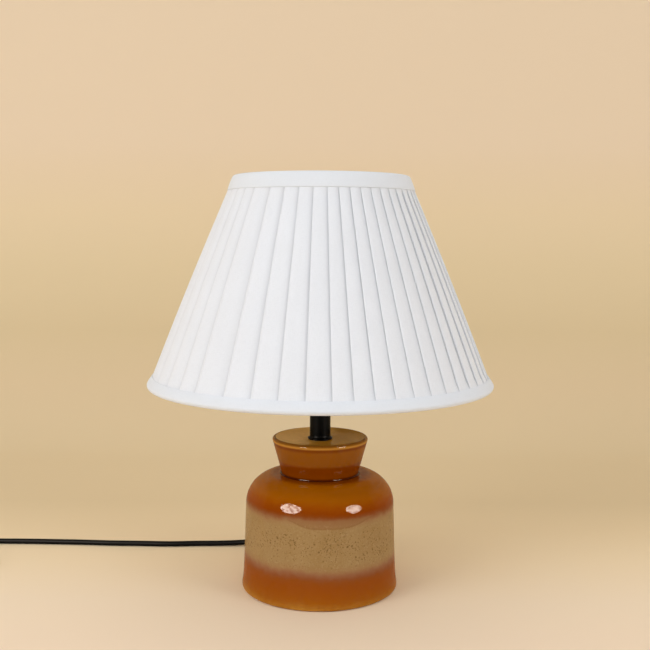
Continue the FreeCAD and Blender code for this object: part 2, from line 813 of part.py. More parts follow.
def least_gap(path, radius):
    """Least clear distance between stretches of the tube that lie apart along its length."""
    step = 3.0
    count = int(path.Length / step)
    points = path.discretize(Number=count)
    nearest = 1e9
    skip = int(4 * radius / step) + 2
    for index, point in enumerate(points):
        for other in points[index + skip:]:
            nearest = min(nearest, point.distanceToPoint(other))
    return nearest - 2 * radius


def cord_coil():
    path = coil_path()
    print("coil least gap", round(least_gap(path, cord_radius), 2))
    return tube_along(path, cord_radius, "coil")


def cord_tie():
    """Flat strap round the coil's turns at their far left."""
    inner_radius = coil_start_radius - coil_half_turn_count * coil_pitch / 2
    near = coil_centre_x - inner_radius + cord_radius + tie_clearance
    far = coil_centre_x - coil_start_radius - cord_radius - tie_clearance
    low = coil_low_z - cord_radius - tie_clearance
    high = coil_high_z + cord_radius + tie_clearance
    outer = Part.makeBox(near - far + 2 * tie_thickness, tie_width, high - low + 2 * tie_thickness,
                         Vector(far - tie_thickness, coil_centre_y - tie_width / 2, low - tie_thickness))
    opening = Part.makeBox(near - far, tie_width, high - low, Vector(far, coil_centre_y - tie_width / 2, low))
    corners = [edge for edge in outer.Edges if abs(edge.tangentAt(0).y) > 0.99]
    outer = outer.makeFillet(tie_corner_radius, corners)
    corners = [edge for edge in opening.Edges if abs(edge.tangentAt(0).y) > 0.99]
    opening = opening.makeFillet(tie_corner_radius - tie_thickness, corners)
    return outer.cut(opening)


def oval(x, half_width, half_height, centre):
    """Elliptical outline square to the plug's axis."""
    if half_width > half_height + 1e-6:
        curve = Part.Ellipse(Vector(0, 0, 0), half_width, half_height).toShape()
    else:
        curve = Part.Circle(Vector(0, 0, 0), Vector(0, 0, 1), half_height).toShape()
    wire = Part.Wire([curve])
    wire.rotate(Vector(0, 0, 0), Vector(0, 0, 1), 90)
    wire.rotate(Vector(0, 0, 0), Vector(0, 1, 0), 90)
    wire.translate(Vector(x, 0, 0))
    wire.translate(centre)
    return wire


def plug_body():
    """Moulded two-pin plug with a tapered boot, lying beside the coil on its flat side."""
    at = coil_end()
    half_height = at.z - floor_clearance
    shoulder = plug_relief_length + plug_shoulder_length
    waist = plug_relief_length + plug_body_length * plug_waist_share
    face = plug_relief_length + plug_body_length
    sections = [oval(0, plug_boot_tip, plug_boot_tip, at),
                oval(plug_boot_tip_length, plug_boot_tip_root, plug_boot_tip_root, at),
                oval(plug_relief_length, plug_boot_root, plug_boot_root, at),
                oval(shoulder, plug_shoulder_half_width, plug_shoulder_half_height, at),
                oval(waist, plug_half_width - plug_waist_inset, half_height - plug_waist_inset, at),
                oval(face, plug_half_width, half_height, at)]
    return Part.makeLoft(sections, True, True)


def plug_pins():
    """Two round pins with rounded tips, standing out of the plug's face."""
    at = coil_end() + Vector(plug_relief_length + plug_body_length, 0, 0)
    middle, rise = dome_middle(pin_radius, pin_dome)
    pins = []
    for side in (-1, 1):
        pin = turned((0, 0), (pin_radius, 0), (pin_radius, pin_length - pin_dome),
                     ((middle, pin_length - rise), (0, pin_length)))
        pin.rotate(Vector(0, 0, 0), Vector(0, 1, 0), 90)
        pin.translate(at + Vector(0, side * pin_spacing / 2, 0))
        pins.append(pin)
    return Part.makeCompound(pins)


pieces = {
    "jar": jar(),
    "foot_felt": foot_felt(),
    "cord_relief": cord_relief(),
    "threaded_tube": threaded_tube(),
    "deck_washer": deck_washer(),
    "deck_nut": deck_nut(),
    "stem": stem(),
    "holder_cap": holder_cap(),
    "switch_bar": switch_bar(),
    "terminal_block": terminal_block(),
    "terminal_screws": terminal_screws(),
    "thread_shell": thread_shell(),
    "centre_contact": centre_contact(),
    "holder_shell": holder_shell(),
    "shade_ring": shade_ring(),
    "bulb_cap": bulb_cap(),
    "bulb_insulator": bulb_insulator(),
    "bulb_contact": bulb_contact(),
    "bulb_glass": bulb_glass(),
    "top_ring": wire_ring(top_ring_radius, top_ring_z),
    "bottom_ring": wire_ring(bottom_ring_radius, bottom_ring_z),
    "struts": struts(),
    "fitter_arms": fitter_arms(),
    "fitter_ring": fitter_ring(),
    "shade_cover": shade_cover(),
    "top_binding": top_binding(),
    "bottom_binding": bottom_binding(),
    "inner_cord": inner_cord(),
    "live_core": core(1),
    "neutral_core": core(-1),
    "cord": cord(),
    "cord_coil": cord_coil(),
    "cord_tie": cord_tie(),
    "plug_body": plug_body(),
    "plug_pins": plug_pins(),
}

os.makedirs("parts", exist_ok=True)
for name, shape in pieces.items():
    shape.exportStep("parts/" + name + ".step")
    print(name, "solids", len(shape.Solids), "valid", shape.isValid(), "volume", round(shape.Volume, 1))
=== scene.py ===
import json
import math

import bmesh
import bpy
import numpy as np
from mathutils import Matrix


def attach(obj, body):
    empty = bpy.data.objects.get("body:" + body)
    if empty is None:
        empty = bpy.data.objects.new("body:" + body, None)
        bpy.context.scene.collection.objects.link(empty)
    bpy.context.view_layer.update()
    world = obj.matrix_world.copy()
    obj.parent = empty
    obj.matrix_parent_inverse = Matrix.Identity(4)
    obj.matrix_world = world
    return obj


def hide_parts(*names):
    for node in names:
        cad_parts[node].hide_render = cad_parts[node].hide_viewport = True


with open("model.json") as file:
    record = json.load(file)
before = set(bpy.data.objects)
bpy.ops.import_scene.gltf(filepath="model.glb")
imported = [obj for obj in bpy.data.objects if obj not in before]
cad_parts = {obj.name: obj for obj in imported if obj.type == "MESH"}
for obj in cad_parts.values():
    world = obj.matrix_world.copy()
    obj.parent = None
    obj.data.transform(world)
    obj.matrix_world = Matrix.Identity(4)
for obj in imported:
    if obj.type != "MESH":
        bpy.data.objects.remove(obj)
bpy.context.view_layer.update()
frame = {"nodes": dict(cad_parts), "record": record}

record = frame["record"]
body_of = {node: body for body, members in record["behaviour"]["bodies"].items() for node in members}


# Jar: slip-cast stoneware in one piece, with a moulded shoulder, a flared neck and a dished deck. It is
# dipped in an amber glaze, darker along the crease and thinner over the rims, and a matt oatmeal glaze
# banded round the middle broke through it in the firing. The inside is bare clay.
def srgb(red, green, blue):
    """Linear colour of a tone given in 0 to 255 steps of the usual display curve."""
    tone = np.array([red, green, blue]) / 255
    linear = np.where(tone <= 0.04045, tone / 12.92, ((tone + 0.055) / 1.055) ** 2.4)
    return (*linear.tolist(), 1.0)


class Reading:
    """A number that varies over a surface. Arithmetic on it adds Math nodes to its finish."""

    def __init__(self, finish, socket):
        self.finish = finish
        self.socket = socket

    def math(self, operation, *values):
        """Result of one Math node."""
        return self.finish.node("Math", {"operation": operation}, dict(enumerate(values)))

    def __add__(self, other):
        return self.math("ADD", self, other)

    __radd__ = __add__

    def __sub__(self, other):
        return self.math("SUBTRACT", self, other)

    def __rsub__(self, other):
        return self.math("SUBTRACT", other, self)

    def __mul__(self, other):
        return self.math("MULTIPLY", self, other)

    __rmul__ = __mul__

    def __truediv__(self, other):
        return self.math("DIVIDE", self, other)

    def __pow__(self, other):
        return self.math("POWER", self, other)

    def ramp(self, low, high):
        """0 below one value, 1 above the other, smooth between. The values may run downwards."""
        if low > high:
            return 1 - self.ramp(high, low)
        settings = {"interpolation_type": "SMOOTHSTEP"}
        return self.finish.node("MapRange", settings, {"Value": self, "From Min": low, "From Max": high})

    def wave(self):
        """Its sine."""
        return self.math("SINE", self)


class Finish:
    """A material in the making, with one method that adds any node."""

    def __init__(self, name):
        self.material = bpy.data.materials.new(name)
        self.material.use_nodes = True
        self.tree = self.material.node_tree
        self.shader = self.tree.nodes["Principled BSDF"]

    def feed(self, socket, value):
        """Links a reading to a socket, or sets a plain value on it."""
        if isinstance(value, Reading):
            self.tree.links.new(value.socket, socket)
        else:
            socket.default_value = value

    def node(self, kind, settings=None, inputs=None, output=0):
        """Adds a node of a type with its settings first, then its inputs, and reads one output."""
        added = self.tree.nodes.new("ShaderNode" + kind)
        for key, value in (settings or {}).items():
            if key == "stops":
                stops = added.color_ramp.elements
                while len(stops) < len(value):
                    stops.new(0.5)
                for stop, (place, colour) in zip(stops, value):
                    stop.position = place
                    stop.color = colour
            else:
                setattr(added, key, value)
        for key, value in (inputs or {}).items():
            self.feed(added.inputs[key], value)
        return Reading(self, added.outputs[output])

    def place(self, output="Object"):
        """A point's place, in metres from the lamp's origin, or on the flat cloth."""
        return self.node("TexCoord", output=output)

    def axes(self, vector):
        """The three numbers of a vector."""
        split = self.node("SeparateXYZ", inputs={0: vector})
        outputs = split.socket.node.outputs
        return [Reading(self, outputs[index]) for index in range(3)]

    def vector(self, x, y, z):
        """One vector of three numbers."""
        return self.node("CombineXYZ", inputs={0: x, 1: y, 2: z})

    def noise(self, scale, detail, vector=None, roughness=0.5):
        """Cloudy numbers from 0 to 1, finer as the scale grows."""
        inputs = {"Vector": vector or self.place(), "Scale": scale, "Detail": detail, "Roughness": roughness}
        return self.node("TexNoise", inputs=inputs)

    def mix(self, factor, below, above):
        """Colour between two others, each a reading or a tone in steps of 0 to 255."""
        below, above = (tone if isinstance(tone, Reading) else srgb(*tone) for tone in (below, above))
        return self.node("Mix", {"data_type": "RGBA"}, {0: factor, 6: below, 7: above}, output=2)

    def tone_at(self, reading, low, high, tones):
        """Colour read off a row of tones, each given after the reading at which it stands."""
        stops = [((at - low) / (high - low), srgb(*tone)) for at, *tone in tones]
        return self.node("ValToRGB", {"stops": stops}, {0: (reading - low) / (high - low)})

    def bump(self, height, depth):
        """Normal of a surface raised by height times depth in metres."""
        return self.node("Bump", inputs={"Height": height, "Distance": depth})

    def surface(self, **sockets):
        """Feeds the shader's sockets, named with underscores for spaces, and gives the material."""
        for name, value in sockets.items():
            self.feed(self.shader.inputs[name.replace("_", " ")], value)
        return self.material


def bow(centre, radius, start, end, count):
    """Points of a circle's arc, in millimetres: centre plus radius times cosine and sine of the angle."""
    angle = np.radians(np.linspace(start, end, count))
    return np.stack([centre[0] + radius * np.cos(angle), centre[1] + radius * np.sin(angle)], 1)


def curve(start, pull, draw, end, count):
    """Points of a cubic curve between two points, aimed by two others.

    The four are weighed 1, 3, 3 and 1 times powers of the way back and the way along.
    """
    along = np.linspace(0, 1, count)[:, None]
    back = 1 - along
    points = [np.array(point, float) for point in (start, pull, draw, end)]
    return (back ** 3 * points[0] + 3 * back ** 2 * along * points[1]
            + 3 * back * along ** 2 * points[2] + along ** 3 * points[3])


def add(name, data):
    """Puts an object of a mesh, curve, light or camera in the scene."""
    added = bpy.data.objects.new(name, data)
    bpy.context.scene.collection.objects.link(added)
    return added


def show(name, mesh, finishes, crease):
    """Piece of a mesh, smooth but for the edges that turn more than the crease, in degrees."""
    mesh.materials.clear()
    for finish in finishes:
        mesh.materials.append(finish)
    mesh.shade_smooth()
    mesh.set_sharp_from_angle(angle=math.radians(crease))
    return add(name, mesh)


def shell(name, grid, finishes, across=True, along=True, crease=35):
    """Piece from a grid of points: each four neighbours make a face, and it closes across or along itself."""
    rows, columns = grid.shape[:2]
    row = np.arange(rows if along else rows - 1)[:, None]
    column = np.arange(columns if across else columns - 1)[None, :]
    next_row = (row + 1) % rows
    next_column = (column + 1) % columns
    corners = [row * columns + column, row * columns + next_column,
               next_row * columns + next_column, next_row * columns + column]
    faces = np.stack(corners, -1).reshape(-1, 4)
    mesh = bpy.data.meshes.new(name)
    mesh.from_pydata(grid.reshape(-1, 3).tolist(), [], faces.tolist())
    return show(name, mesh, finishes, crease)


def turn(outline, turns, swell=0.0):
    """Grid of an outline in millimetres, radius and height, turned about the lamp's axis.

    The swell is added to the radius: one number, or one for each point and angle.
    """
    angle = np.linspace(0, 2 * np.pi, turns, endpoint=False)
    radius = (outline[:, 0, None] + swell + 0 * angle) * 0.001
    height = np.broadcast_to(outline[:, 1, None] * 0.001, radius.shape)
    return np.stack([radius * np.cos(angle), radius * np.sin(angle), height], -1)


def stand_for(piece, *replaced):
    """The piece takes the place and the body of modelled parts, and they are hidden."""
    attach(piece, body_of[replaced[0]])
    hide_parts(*replaced)


jar_foot_z = 1.2
jar_mouth_radius = 66.0
jar_edge_radius = 78.2
jar_edge_z = 0.4
jar_edge_bow = 2.1
jar_side_low_z = 4.4
jar_side_radius = 76.3
jar_side_widens = 2.0
jar_side_widens_over = 61.3
jar_side_flare = 1.35
jar_side_flare_height = 8.0
jar_shoulder_z = 87.3
jar_shoulder_bow = 30.7
jar_wall = 5.0
jar_inner_radius = 73.3
jar_crease_bow = 1.2
jar_neck_radius = 39.4
jar_neck_top_z = 149.6
jar_neck_top_radius = 48.1
jar_rim_bow = 2.6
jar_rim_rise = 35.4
jar_rim_end = 106
jar_deck_z = 153.2
jar_deck_under_z = 148.0
jar_seat_radius = 16.0
tube_hole_radius = 5.3
jar_shoulder_top_z = jar_shoulder_z + jar_shoulder_bow
jar_shoulder_centre = (jar_side_radius - jar_shoulder_bow, jar_shoulder_z)

jar_side_z = np.linspace(jar_side_low_z, jar_shoulder_z, 46)
jar_side_taper = jar_side_widens * (jar_shoulder_z - jar_side_z) / jar_side_widens_over
jar_foot_flare = jar_side_flare * np.exp((jar_side_low_z - jar_side_z) / jar_side_flare_height)
jar_side = np.stack([jar_side_radius + jar_side_taper + jar_foot_flare, jar_side_z], 1)
jar_neck_rise = jar_neck_top_z - jar_shoulder_top_z
jar_neck_lean = math.degrees(math.atan2(jar_neck_top_radius - jar_neck_radius, jar_neck_rise))
jar_neck_cos = math.cos(math.radians(jar_neck_lean))
jar_neck_sin = math.sin(math.radians(jar_neck_lean))
jar_crease_centre = (jar_neck_radius + jar_crease_bow * (1 + jar_neck_sin) / jar_neck_cos,
                     jar_shoulder_top_z + jar_crease_bow)
jar_rim_centre = (jar_neck_radius + (jar_rim_rise * jar_neck_sin - jar_rim_bow) / jar_neck_cos,
                  jar_shoulder_top_z + jar_rim_rise)
jar_dish_start = bow(jar_rim_centre, jar_rim_bow, jar_rim_end, jar_rim_end, 1)[0]
jar_foot = [(jar_mouth_radius, jar_foot_z), (72.0, jar_foot_z), (77.3, jar_foot_z), (77.7, 0.6),
            (jar_edge_radius, jar_edge_z)]
jar_outside = np.concatenate([
    jar_foot,
    bow((jar_edge_radius, jar_edge_z + jar_edge_bow), jar_edge_bow, -80, -8, 8),
    jar_side,
    bow(jar_shoulder_centre, jar_shoulder_bow, 2, 90, 46),
    [(42.6, jar_shoulder_top_z)],
    bow(jar_crease_centre, jar_crease_bow, -92, -180 - jar_neck_lean, 12),
    np.linspace((jar_neck_radius + 4 * jar_neck_sin / jar_neck_cos, jar_shoulder_top_z + 4),
                (jar_neck_top_radius, jar_neck_top_z), 14),
    bow(jar_rim_centre, jar_rim_bow, -jar_neck_lean, jar_rim_end, 16),
    curve(jar_dish_start, jar_dish_start - (7.0, 1.5), (30.0, jar_deck_z + 0.1),
          (jar_seat_radius, jar_deck_z), 24)[1:],
    [(12.0, jar_deck_z), (tube_hole_radius, jar_deck_z)]])
jar_inside = np.concatenate([
    [(tube_hole_radius, jar_deck_under_z), (24.0, jar_deck_under_z), (42.4, jar_deck_under_z),
     (34.6, 114.0), (36.0, 113.0)],
    bow(jar_shoulder_centre, jar_shoulder_bow - jar_wall, 90, 0, 16),
    [(jar_inner_radius, 26.0), (jar_inner_radius, 13.2), (jar_mouth_radius, 8.2)]])
jar_outline = np.concatenate([jar_outside, jar_inside])
jar_turns = 320


def jar_glaze():
    """Amber over oatmeal: colour by height, its edges frayed by noise, with iron specks in the pale band."""
    finish = Finish("jar_glaze")
    x, y, z = finish.axes(finish.place())
    height = z * 1000
    radius = (x * x + y * y) ** 0.5 * 1000
    run = finish.noise(14, 3, finish.vector(x, y, z * 0.25)) - 0.5
    fray = finish.noise(160, 4) - 0.5
    wander = finish.noise(9, 1) - 0.5
    level = height + run * 9 + fray * 5 + wander * 5
    # The rims and the neck keep their own height, where a frayed level would blur them.
    neck = height.ramp(112, 120)
    steady = level * (1 - neck) + height * neck
    # The lower neck, below about 134 mm, is painted darker, as painted shade near the crease, and the
    # shoulder's top beside the crease, at about 117 mm, is painted brighter, as painted light that offsets
    # the shade falling there.
    dipped = finish.tone_at(steady, 0.0, 160.0, [
        (0.5, 182, 124, 48), (2.5, 166, 106, 30), (8, 153, 83, 4), (14, 149, 75, 1), (24, 145, 70, 1),
        (29, 141, 71, 14), (32, 139, 76, 36), (36, 145, 95, 62), (40, 156, 118, 76), (46, 160, 128, 82),
        (80, 160, 128, 82), (84.5, 156, 120, 77), (87, 148, 104, 66), (89.5, 138, 82, 44), (92, 134, 66, 18),
        (95, 138, 61, 1), (100, 147, 70, 0), (106, 157, 84, 0), (112, 154, 83, 0), (117, 162, 89, 0),
        (118.3, 128, 56, 0), (122.4, 136, 63, 0), (126.6, 126, 56, 0), (131.4, 125, 56, 0),
        (134.4, 143, 79, 0), (147.6, 147, 83, 0), (150, 126, 60, 0), (151.2, 130, 66, 0),
        (152.5, 194, 134, 48), (153.4, 194, 134, 48), (154.6, 140, 86, 16), (156, 144, 90, 24)])
    # The glaze is painted dark along the crease under the neck.
    crease_line = radius.ramp(41.9, 40.9) * height.ramp(117.7, 118.1) * height.ramp(120.4, 119.0)
    dipped = finish.mix(crease_line, dipped, (76, 22, 0))
    deck = radius.ramp(46.6, 45.4) * height.ramp(151.0, 152.0)
    cloud = finish.noise(42, 5, roughness=0.65)
    # The deck is painted much paler than its glaze, as painted light that offsets the shade of the lampshade
    # over it, and palest on its left and front, where the light falls.
    painted_deck_light = (x - y * 0.4 + (cloud - 0.5) * 0.03).ramp(0.012, -0.022)
    dipped = finish.mix(deck, dipped, finish.mix(painted_deck_light, (187, 132, 42), (246, 190, 104)))
    # At the front the amber sagged a little further, in a thin veil with a clear lower edge.
    across = x - 0.010
    front = (across * across).ramp(0.0021, 0.0) * y.ramp(-0.01, -0.05)
    sag = height + fray * 1.2 + front * 9.0
    sagged = height.ramp(91, 87) * front.ramp(0.02, 0.15)
    veil = sag.ramp(89.0, 90.0) * sagged
    dipped = finish.mix(veil * 0.8, dipped, (146, 105, 65))
    hem = sag.ramp(88.4, 89.6) * sag.ramp(91.4, 89.8) * sagged
    dipped = finish.mix(hem * 0.22, dipped, (118, 72, 34))
    # The oatmeal band is clouded, and speckled pale, tan and iron brown, least along its edges.
    band = steady.ramp(36, 44) * steady.ramp(88, 79)
    middle = steady.ramp(38, 52) * steady.ramp(84, 70)
    dipped = finish.mix(band * cloud.ramp(0.42, 0.7) * 0.5, dipped, (146, 112, 64))
    drift = finish.noise(60, 3).ramp(0.4, 0.58)
    pepper = finish.noise(620, 2, roughness=0.6)
    salt = finish.noise(480, 2, finish.vector(x + 3, y, z), roughness=0.6)
    dipped = finish.mix(salt.ramp(0.54, 0.68) * band * 0.38, dipped, (178, 146, 102))
    speck = pepper.ramp(0.57, 0.66) * (0.35 + 0.65 * drift) * (0.25 * band + 0.75 * middle)
    dipped = finish.mix(speck * 0.85, dipped, (112, 84, 44))
    cell = {"Vector": finish.place(), "Scale": 250.0}
    nearest = finish.node("TexVoronoi", {"feature": "F1"}, cell)
    tint = finish.node("TexVoronoi", {"feature": "F1"}, cell, output="Color")
    lot, size, _ = finish.axes(tint)
    iron = nearest.ramp(0.34, 0.14) * lot.ramp(0.66, 0.78) * (0.4 + 0.6 * size) * (0.12 + 0.88 * middle)
    dipped = finish.mix(iron * 0.72, dipped, (92, 62, 28))
    ripple = finish.noise(38, 2) * 0.6 + finish.noise(240, 1) * 0.04
    # Fine bubbles break the gloss here and there.
    pinhole = finish.noise(290, 2).ramp(0.47, 0.6)
    gloss = (0.5 - 0.3 * pinhole) * (1 - 0.4 * deck)
    return finish.surface(Base_Color=dipped, Roughness=0.32 + 0.12 * band, Specular_IOR_Level=0.0,
                          Coat_Weight=gloss, Coat_Roughness=0.045, Coat_IOR=1.4,
                          Normal=finish.bump(ripple, 0.0006))


def bare_clay():
    """Pale stoneware left unglazed, with a fine grog."""
    finish = Finish("bare_clay")
    grog = finish.noise(700, 3)
    wash = finish.noise(25, 3)
    tone = finish.mix(wash, (186, 160, 128), (168, 138, 104))
    tone = finish.mix(grog.ramp(0.58, 0.72) * 0.5, tone, (120, 92, 66))
    return finish.surface(Base_Color=tone, Roughness=0.85, Normal=finish.bump(grog, 0.0004))


jar = shell("jar_glazed", turn(jar_outline, jar_turns), [jar_glaze(), bare_clay()])
jar_rows = np.arange(len(jar_outline))
jar_bare = (jar_rows >= len(jar_outside) - 1) | (jar_rows < len(jar_foot) - 1)
jar.data.polygons.foreach_set("material_index", np.repeat(jar_bare, jar_turns).astype(np.int32))
stand_for(jar, "jar")


# Foot felt: a ring of pressed wool glued under the jar's foot, so that the clay doesn't scratch a table.
# It stays hidden behind the foot's edge and shows only from below.
def felt():
    """Matted fibres, tan, lighter where they stand up."""
    finish = Finish("felt")
    fibres = finish.noise(2600, 3)
    mat = finish.noise(260, 4)
    tone = finish.mix(mat.ramp(0.3, 0.7), (150, 124, 90), (170, 142, 106))
    tone = finish.mix(fibres.ramp(0.55, 0.7) * 0.5, tone, (196, 172, 138))
    return finish.surface(Base_Color=tone, Roughness=0.95, Sheen_Weight=0.4,
                          Normal=finish.bump(fibres + mat, 0.0003))


def rounded(node, finish, crease=32):
    """Finished copy of a modelled part, its corners joined so that its round faces look round."""
    mesh = frame["nodes"][node].data.copy()
    joined = bmesh.new()
    joined.from_mesh(mesh)
    bmesh.ops.remove_doubles(joined, verts=joined.verts, dist=2e-6)
    joined.to_mesh(mesh)
    joined.free()
    piece = show(node + "_finished", mesh, [finish], crease)
    stand_for(piece, node)
    return piece


rounded("foot_felt", felt())


# Cord relief: a moulded rubber bush pushed through the wall low at the back, with a flange against the
# glaze and a tapered boot, ribbed so that it bends evenly round the lead.
def moulded(name, colour, roughness, grain=0.00004):
    """Moulded plastic or rubber: an even tone, a fine skin and slightly uneven gloss."""
    finish = Finish(name)
    skin = finish.noise(1500, 2)
    handled = finish.noise(60, 3)
    tone = finish.mix(handled * 0.5, colour, [part * 1.2 + 3 for part in colour])
    return finish.surface(Base_Color=tone, Roughness=roughness + 0.06 * (handled - 0.5),
                          Specular_IOR_Level=0.08, Normal=finish.bump(skin, grain))


relief_azimuth = math.radians(118)
relief_direction = np.array([math.cos(relief_azimuth), math.sin(relief_azimuth), 0.0])
relief_height = 14.0
relief_bore = 3.02
relief_boot_start = 81.3
relief_boot_length = 19.0
relief_boot_end = relief_boot_start + relief_boot_length
relief_grooves = 5
relief_tip = relief_direction * relief_boot_end + np.array([0, 0, relief_height])


def along_relief(grid):
    """Grid modelled along +Z, laid on the line along which the lead leaves the jar."""
    axes = np.array([[-relief_direction[1], relief_direction[0], 0.0], [0.0, 0.0, 1.0], relief_direction])
    return grid @ axes + np.array([0, 0, relief_height * 0.001])


def relief_outline():
    """Bush, flange and boot as one closed loop, the boot grooved by a cosine that fades at its ends."""
    run = np.linspace(0, 1, 71)
    groove = np.maximum(0, np.cos(2 * np.pi * relief_grooves * run)) ** 1.5 * np.clip(6 * run, 0, 1)
    groove *= np.clip(6 * (1 - run), 0, 1)
    boot = np.stack([5.2 - 1.1 * run - 0.45 * groove, relief_boot_start + relief_boot_length * run], 1)
    return np.concatenate([
        [(relief_bore, 67.3), (5.4, 67.3), (5.85, 67.8), (5.85, 75.0), (7.9, 75.0), (7.9, 79.6)],
        bow((7.0, 80.4), 0.9, 0, 90, 6),
        [(5.8, relief_boot_start)],
        boot[1:-1],
        bow((3.6, relief_boot_end - 0.5), 0.5, 0, 90, 4),
        [(relief_bore, relief_boot_end - 0.2), (relief_bore, 90.0)]])


relief = shell("cord_relief_ribbed", along_relief(turn(relief_outline(), 56)),
               [moulded("relief_rubber", (19, 19, 20), 0.55)], crease=50)
stand_for(relief, "cord_relief")


# Threaded tube, washer and nut: zinc-plated steel. The tube runs up through the deck into the lampholder,
# and the nut draws stem and jar together from inside the jar.
def metal(name, colour, roughness, streak=(300, 300, 40)):
    """Bare or plated metal, with fine streaks along one direction and duller patches."""
    finish = Finish(name)
    x, y, z = finish.axes(finish.place())
    lines = finish.noise(1.0, 3, finish.vector(x * streak[0], y * streak[1], z * streak[2]))
    patch = finish.noise(130, 3)
    dull = [part * 0.8 for part in colour]
    tone = finish.mix(patch.ramp(0.35, 0.75) * 0.6, colour, dull)
    return finish.surface(Base_Color=tone, Metallic=1.0, Roughness=roughness + 0.12 * (lines - 0.4),
                          Normal=finish.bump(lines, 0.00003))


def thread(low, high, radius, depth, pitch, turns, steps, sharp=1.0):
    """Outline and swell of a screw thread between two heights, fading out at its ends.

    A point's place on the thread is its height over the pitch less its angle over a full turn. Each pitch
    has a number of steps, and a sharper thread has broader grooves.
    """
    height = np.linspace(low, high, int((high - low) / pitch * steps) + 1)
    angle = np.linspace(0, 1, turns, endpoint=False)
    wave = 0.5 - 0.5 * np.cos(2 * np.pi * (height[:, None] / pitch - angle[None, :]))
    fade = np.clip(np.minimum(height - low, high - height) / (0.7 * pitch), 0, 1)[:, None]
    outline = np.stack([np.full(len(height), radius), height], 1)
    return outline, -depth * (1 - wave ** sharp) * fade


def turned(name, node, finish, turns, crease, *stretches):
    """Piece turned from stretches of outline, each plain or with a swell of its own, in a part's place."""
    parts = [part if isinstance(part, tuple) else (np.array(part), 0.0) for part in stretches]
    outline = np.concatenate([points for points, swell in parts])
    swell = np.concatenate([np.broadcast_to(swell, (len(points), turns)) for points, swell in parts])
    stand_for(shell(name, turn(outline, turns, swell), [finish], crease=crease), node)


zinc = metal("zinc_steel", (176, 178, 182), 0.36)
tube_turns = 48
turned("threaded_tube_cut", "threaded_tube", zinc, tube_turns, 60,
       thread(136.3, 213.7, 5.0, 0.45, 1.0, tube_turns, 6),
       [(4.6, 214.0), (4.0, 214.0), (4.0, 136.0), (4.6, 136.0)])
rounded("deck_washer", zinc)
rounded("deck_nut", zinc)


# Stem: a moulded sleeve, satin black, with a flared foot on the deck. It hides the threaded tube and
# carries the lampholder.
stem_radius = 10.65
stem_bore = 8.65
stem_low_z = 153.22
stem_high_z = 206.0
stem_web_z = 203.0


def stem_outline():
    """Outside from the deck up, then down the hollow between the two webs."""
    return np.concatenate([
        [(tube_hole_radius, stem_low_z), (11.8, stem_low_z), (12.3, 153.55)],
        bow((11.9, 154.1), 0.4, 0, 60, 4),
        bow((13.3, 157.5), 2.65, -100, -180, 12),
        [(stem_radius, 159.2), (stem_radius, 180.0), (stem_radius, 205.7), (10.4, stem_high_z),
         (tube_hole_radius, stem_high_z), (tube_hole_radius, stem_web_z), (stem_bore, stem_web_z),
         (stem_bore, 156.2), (tube_hole_radius, 156.2)]])


black = moulded("black_plastic", (3, 4, 5), 0.36, 0.00003)
turned("stem_moulded", "stem", black, 128, 35, stem_outline())


# Lampholder cap: the lower cup of an E27 holder, black and moulded, with fluted sides for the fingers. It
# screws onto the threaded tube, and the switch bar runs through it.
cap_radius = 17.5
cap_bore = 5.05
cap_floor_z = 214.0
cap_top_z = 232.0
cap_flutes = 72
cap_flute_depth = 0.35
cap_turns = 288


def fluted_side():
    """The cap's upright side, grooved by the square of a raised cosine that fades at both ends."""
    height = np.linspace(cap_floor_z, cap_top_z - 0.4, 19)
    angle = np.linspace(0, 2 * np.pi, cap_turns, endpoint=False)
    fade = np.clip(np.minimum(height - 226.2, 231.2 - height) / 0.8, 0, 1)[:, None]
    groove = cap_flute_depth * fade * (0.5 + 0.5 * np.cos(cap_flutes * angle)) ** 2
    return np.stack([np.full(19, cap_radius), height], 1), -groove


cap_flare = curve((stem_radius, 208.0), (10.9, 210.6), (16.6, 210.4), (cap_radius, cap_floor_z), 14)
turned("holder_cap_moulded", "holder_cap", black, cap_turns, 40,
       [(cap_bore, 206.02), (10.4, 206.02), (stem_radius, 206.3)], cap_flare[:-1], fluted_side(),
       [(17.2, cap_top_z), (15.5, cap_top_z), (15.5, 215.5), (14.0, cap_floor_z), (cap_bore, cap_floor_z)])


# Switch bar: a black moulded rod through the lampholder's cap. It slides in two plain holes and is pushed
# from one side to the other to switch the lamp.
rounded("switch_bar", moulded("switch_plastic", (24, 24, 25), 0.3, 0.00002))


# Terminal block, its screws and the centre contact: a pressed block of glazed porcelain that sits in the
# cap, two brass screws that clamp the cores, and a sprung brass strip under the bulb's tip.
def porcelain():
    """White body under a clear glaze, faintly uneven."""
    finish = Finish("porcelain")
    cloud = finish.noise(90, 3)
    tone = finish.mix(cloud, (238, 235, 226), (224, 220, 208))
    return finish.surface(Base_Color=tone, Roughness=0.3, Coat_Weight=0.8,
                          Normal=finish.bump(cloud, 0.0002))


brass = metal("brass", (196, 158, 92), 0.3)
rounded("terminal_block", porcelain())
rounded("terminal_screws", brass)
rounded("centre_contact", brass)


# Thread shell: thin brass rolled into the round thread that the bulb screws into. It is seated on the
# terminal block.
lamp_pitch = 25.4 / 7
lamp_thread_depth = 0.6


def rolled_shell(name, node, finish, low, high, radius, wall, *foot):
    """Thin shell with the same round thread inside and out, and any plain foot below it."""
    turns = 128
    outer, swell = thread(low, high, radius, lamp_thread_depth, lamp_pitch, turns, 14)
    inner = outer[::-1] - np.array([wall, 0])
    turned(name, node, finish, turns, 70, (outer, swell), (inner, swell[::-1]), *foot)


rolled_shell("thread_shell_rolled", "thread_shell", brass, 240.02, 261.0, 13.95, 0.5)


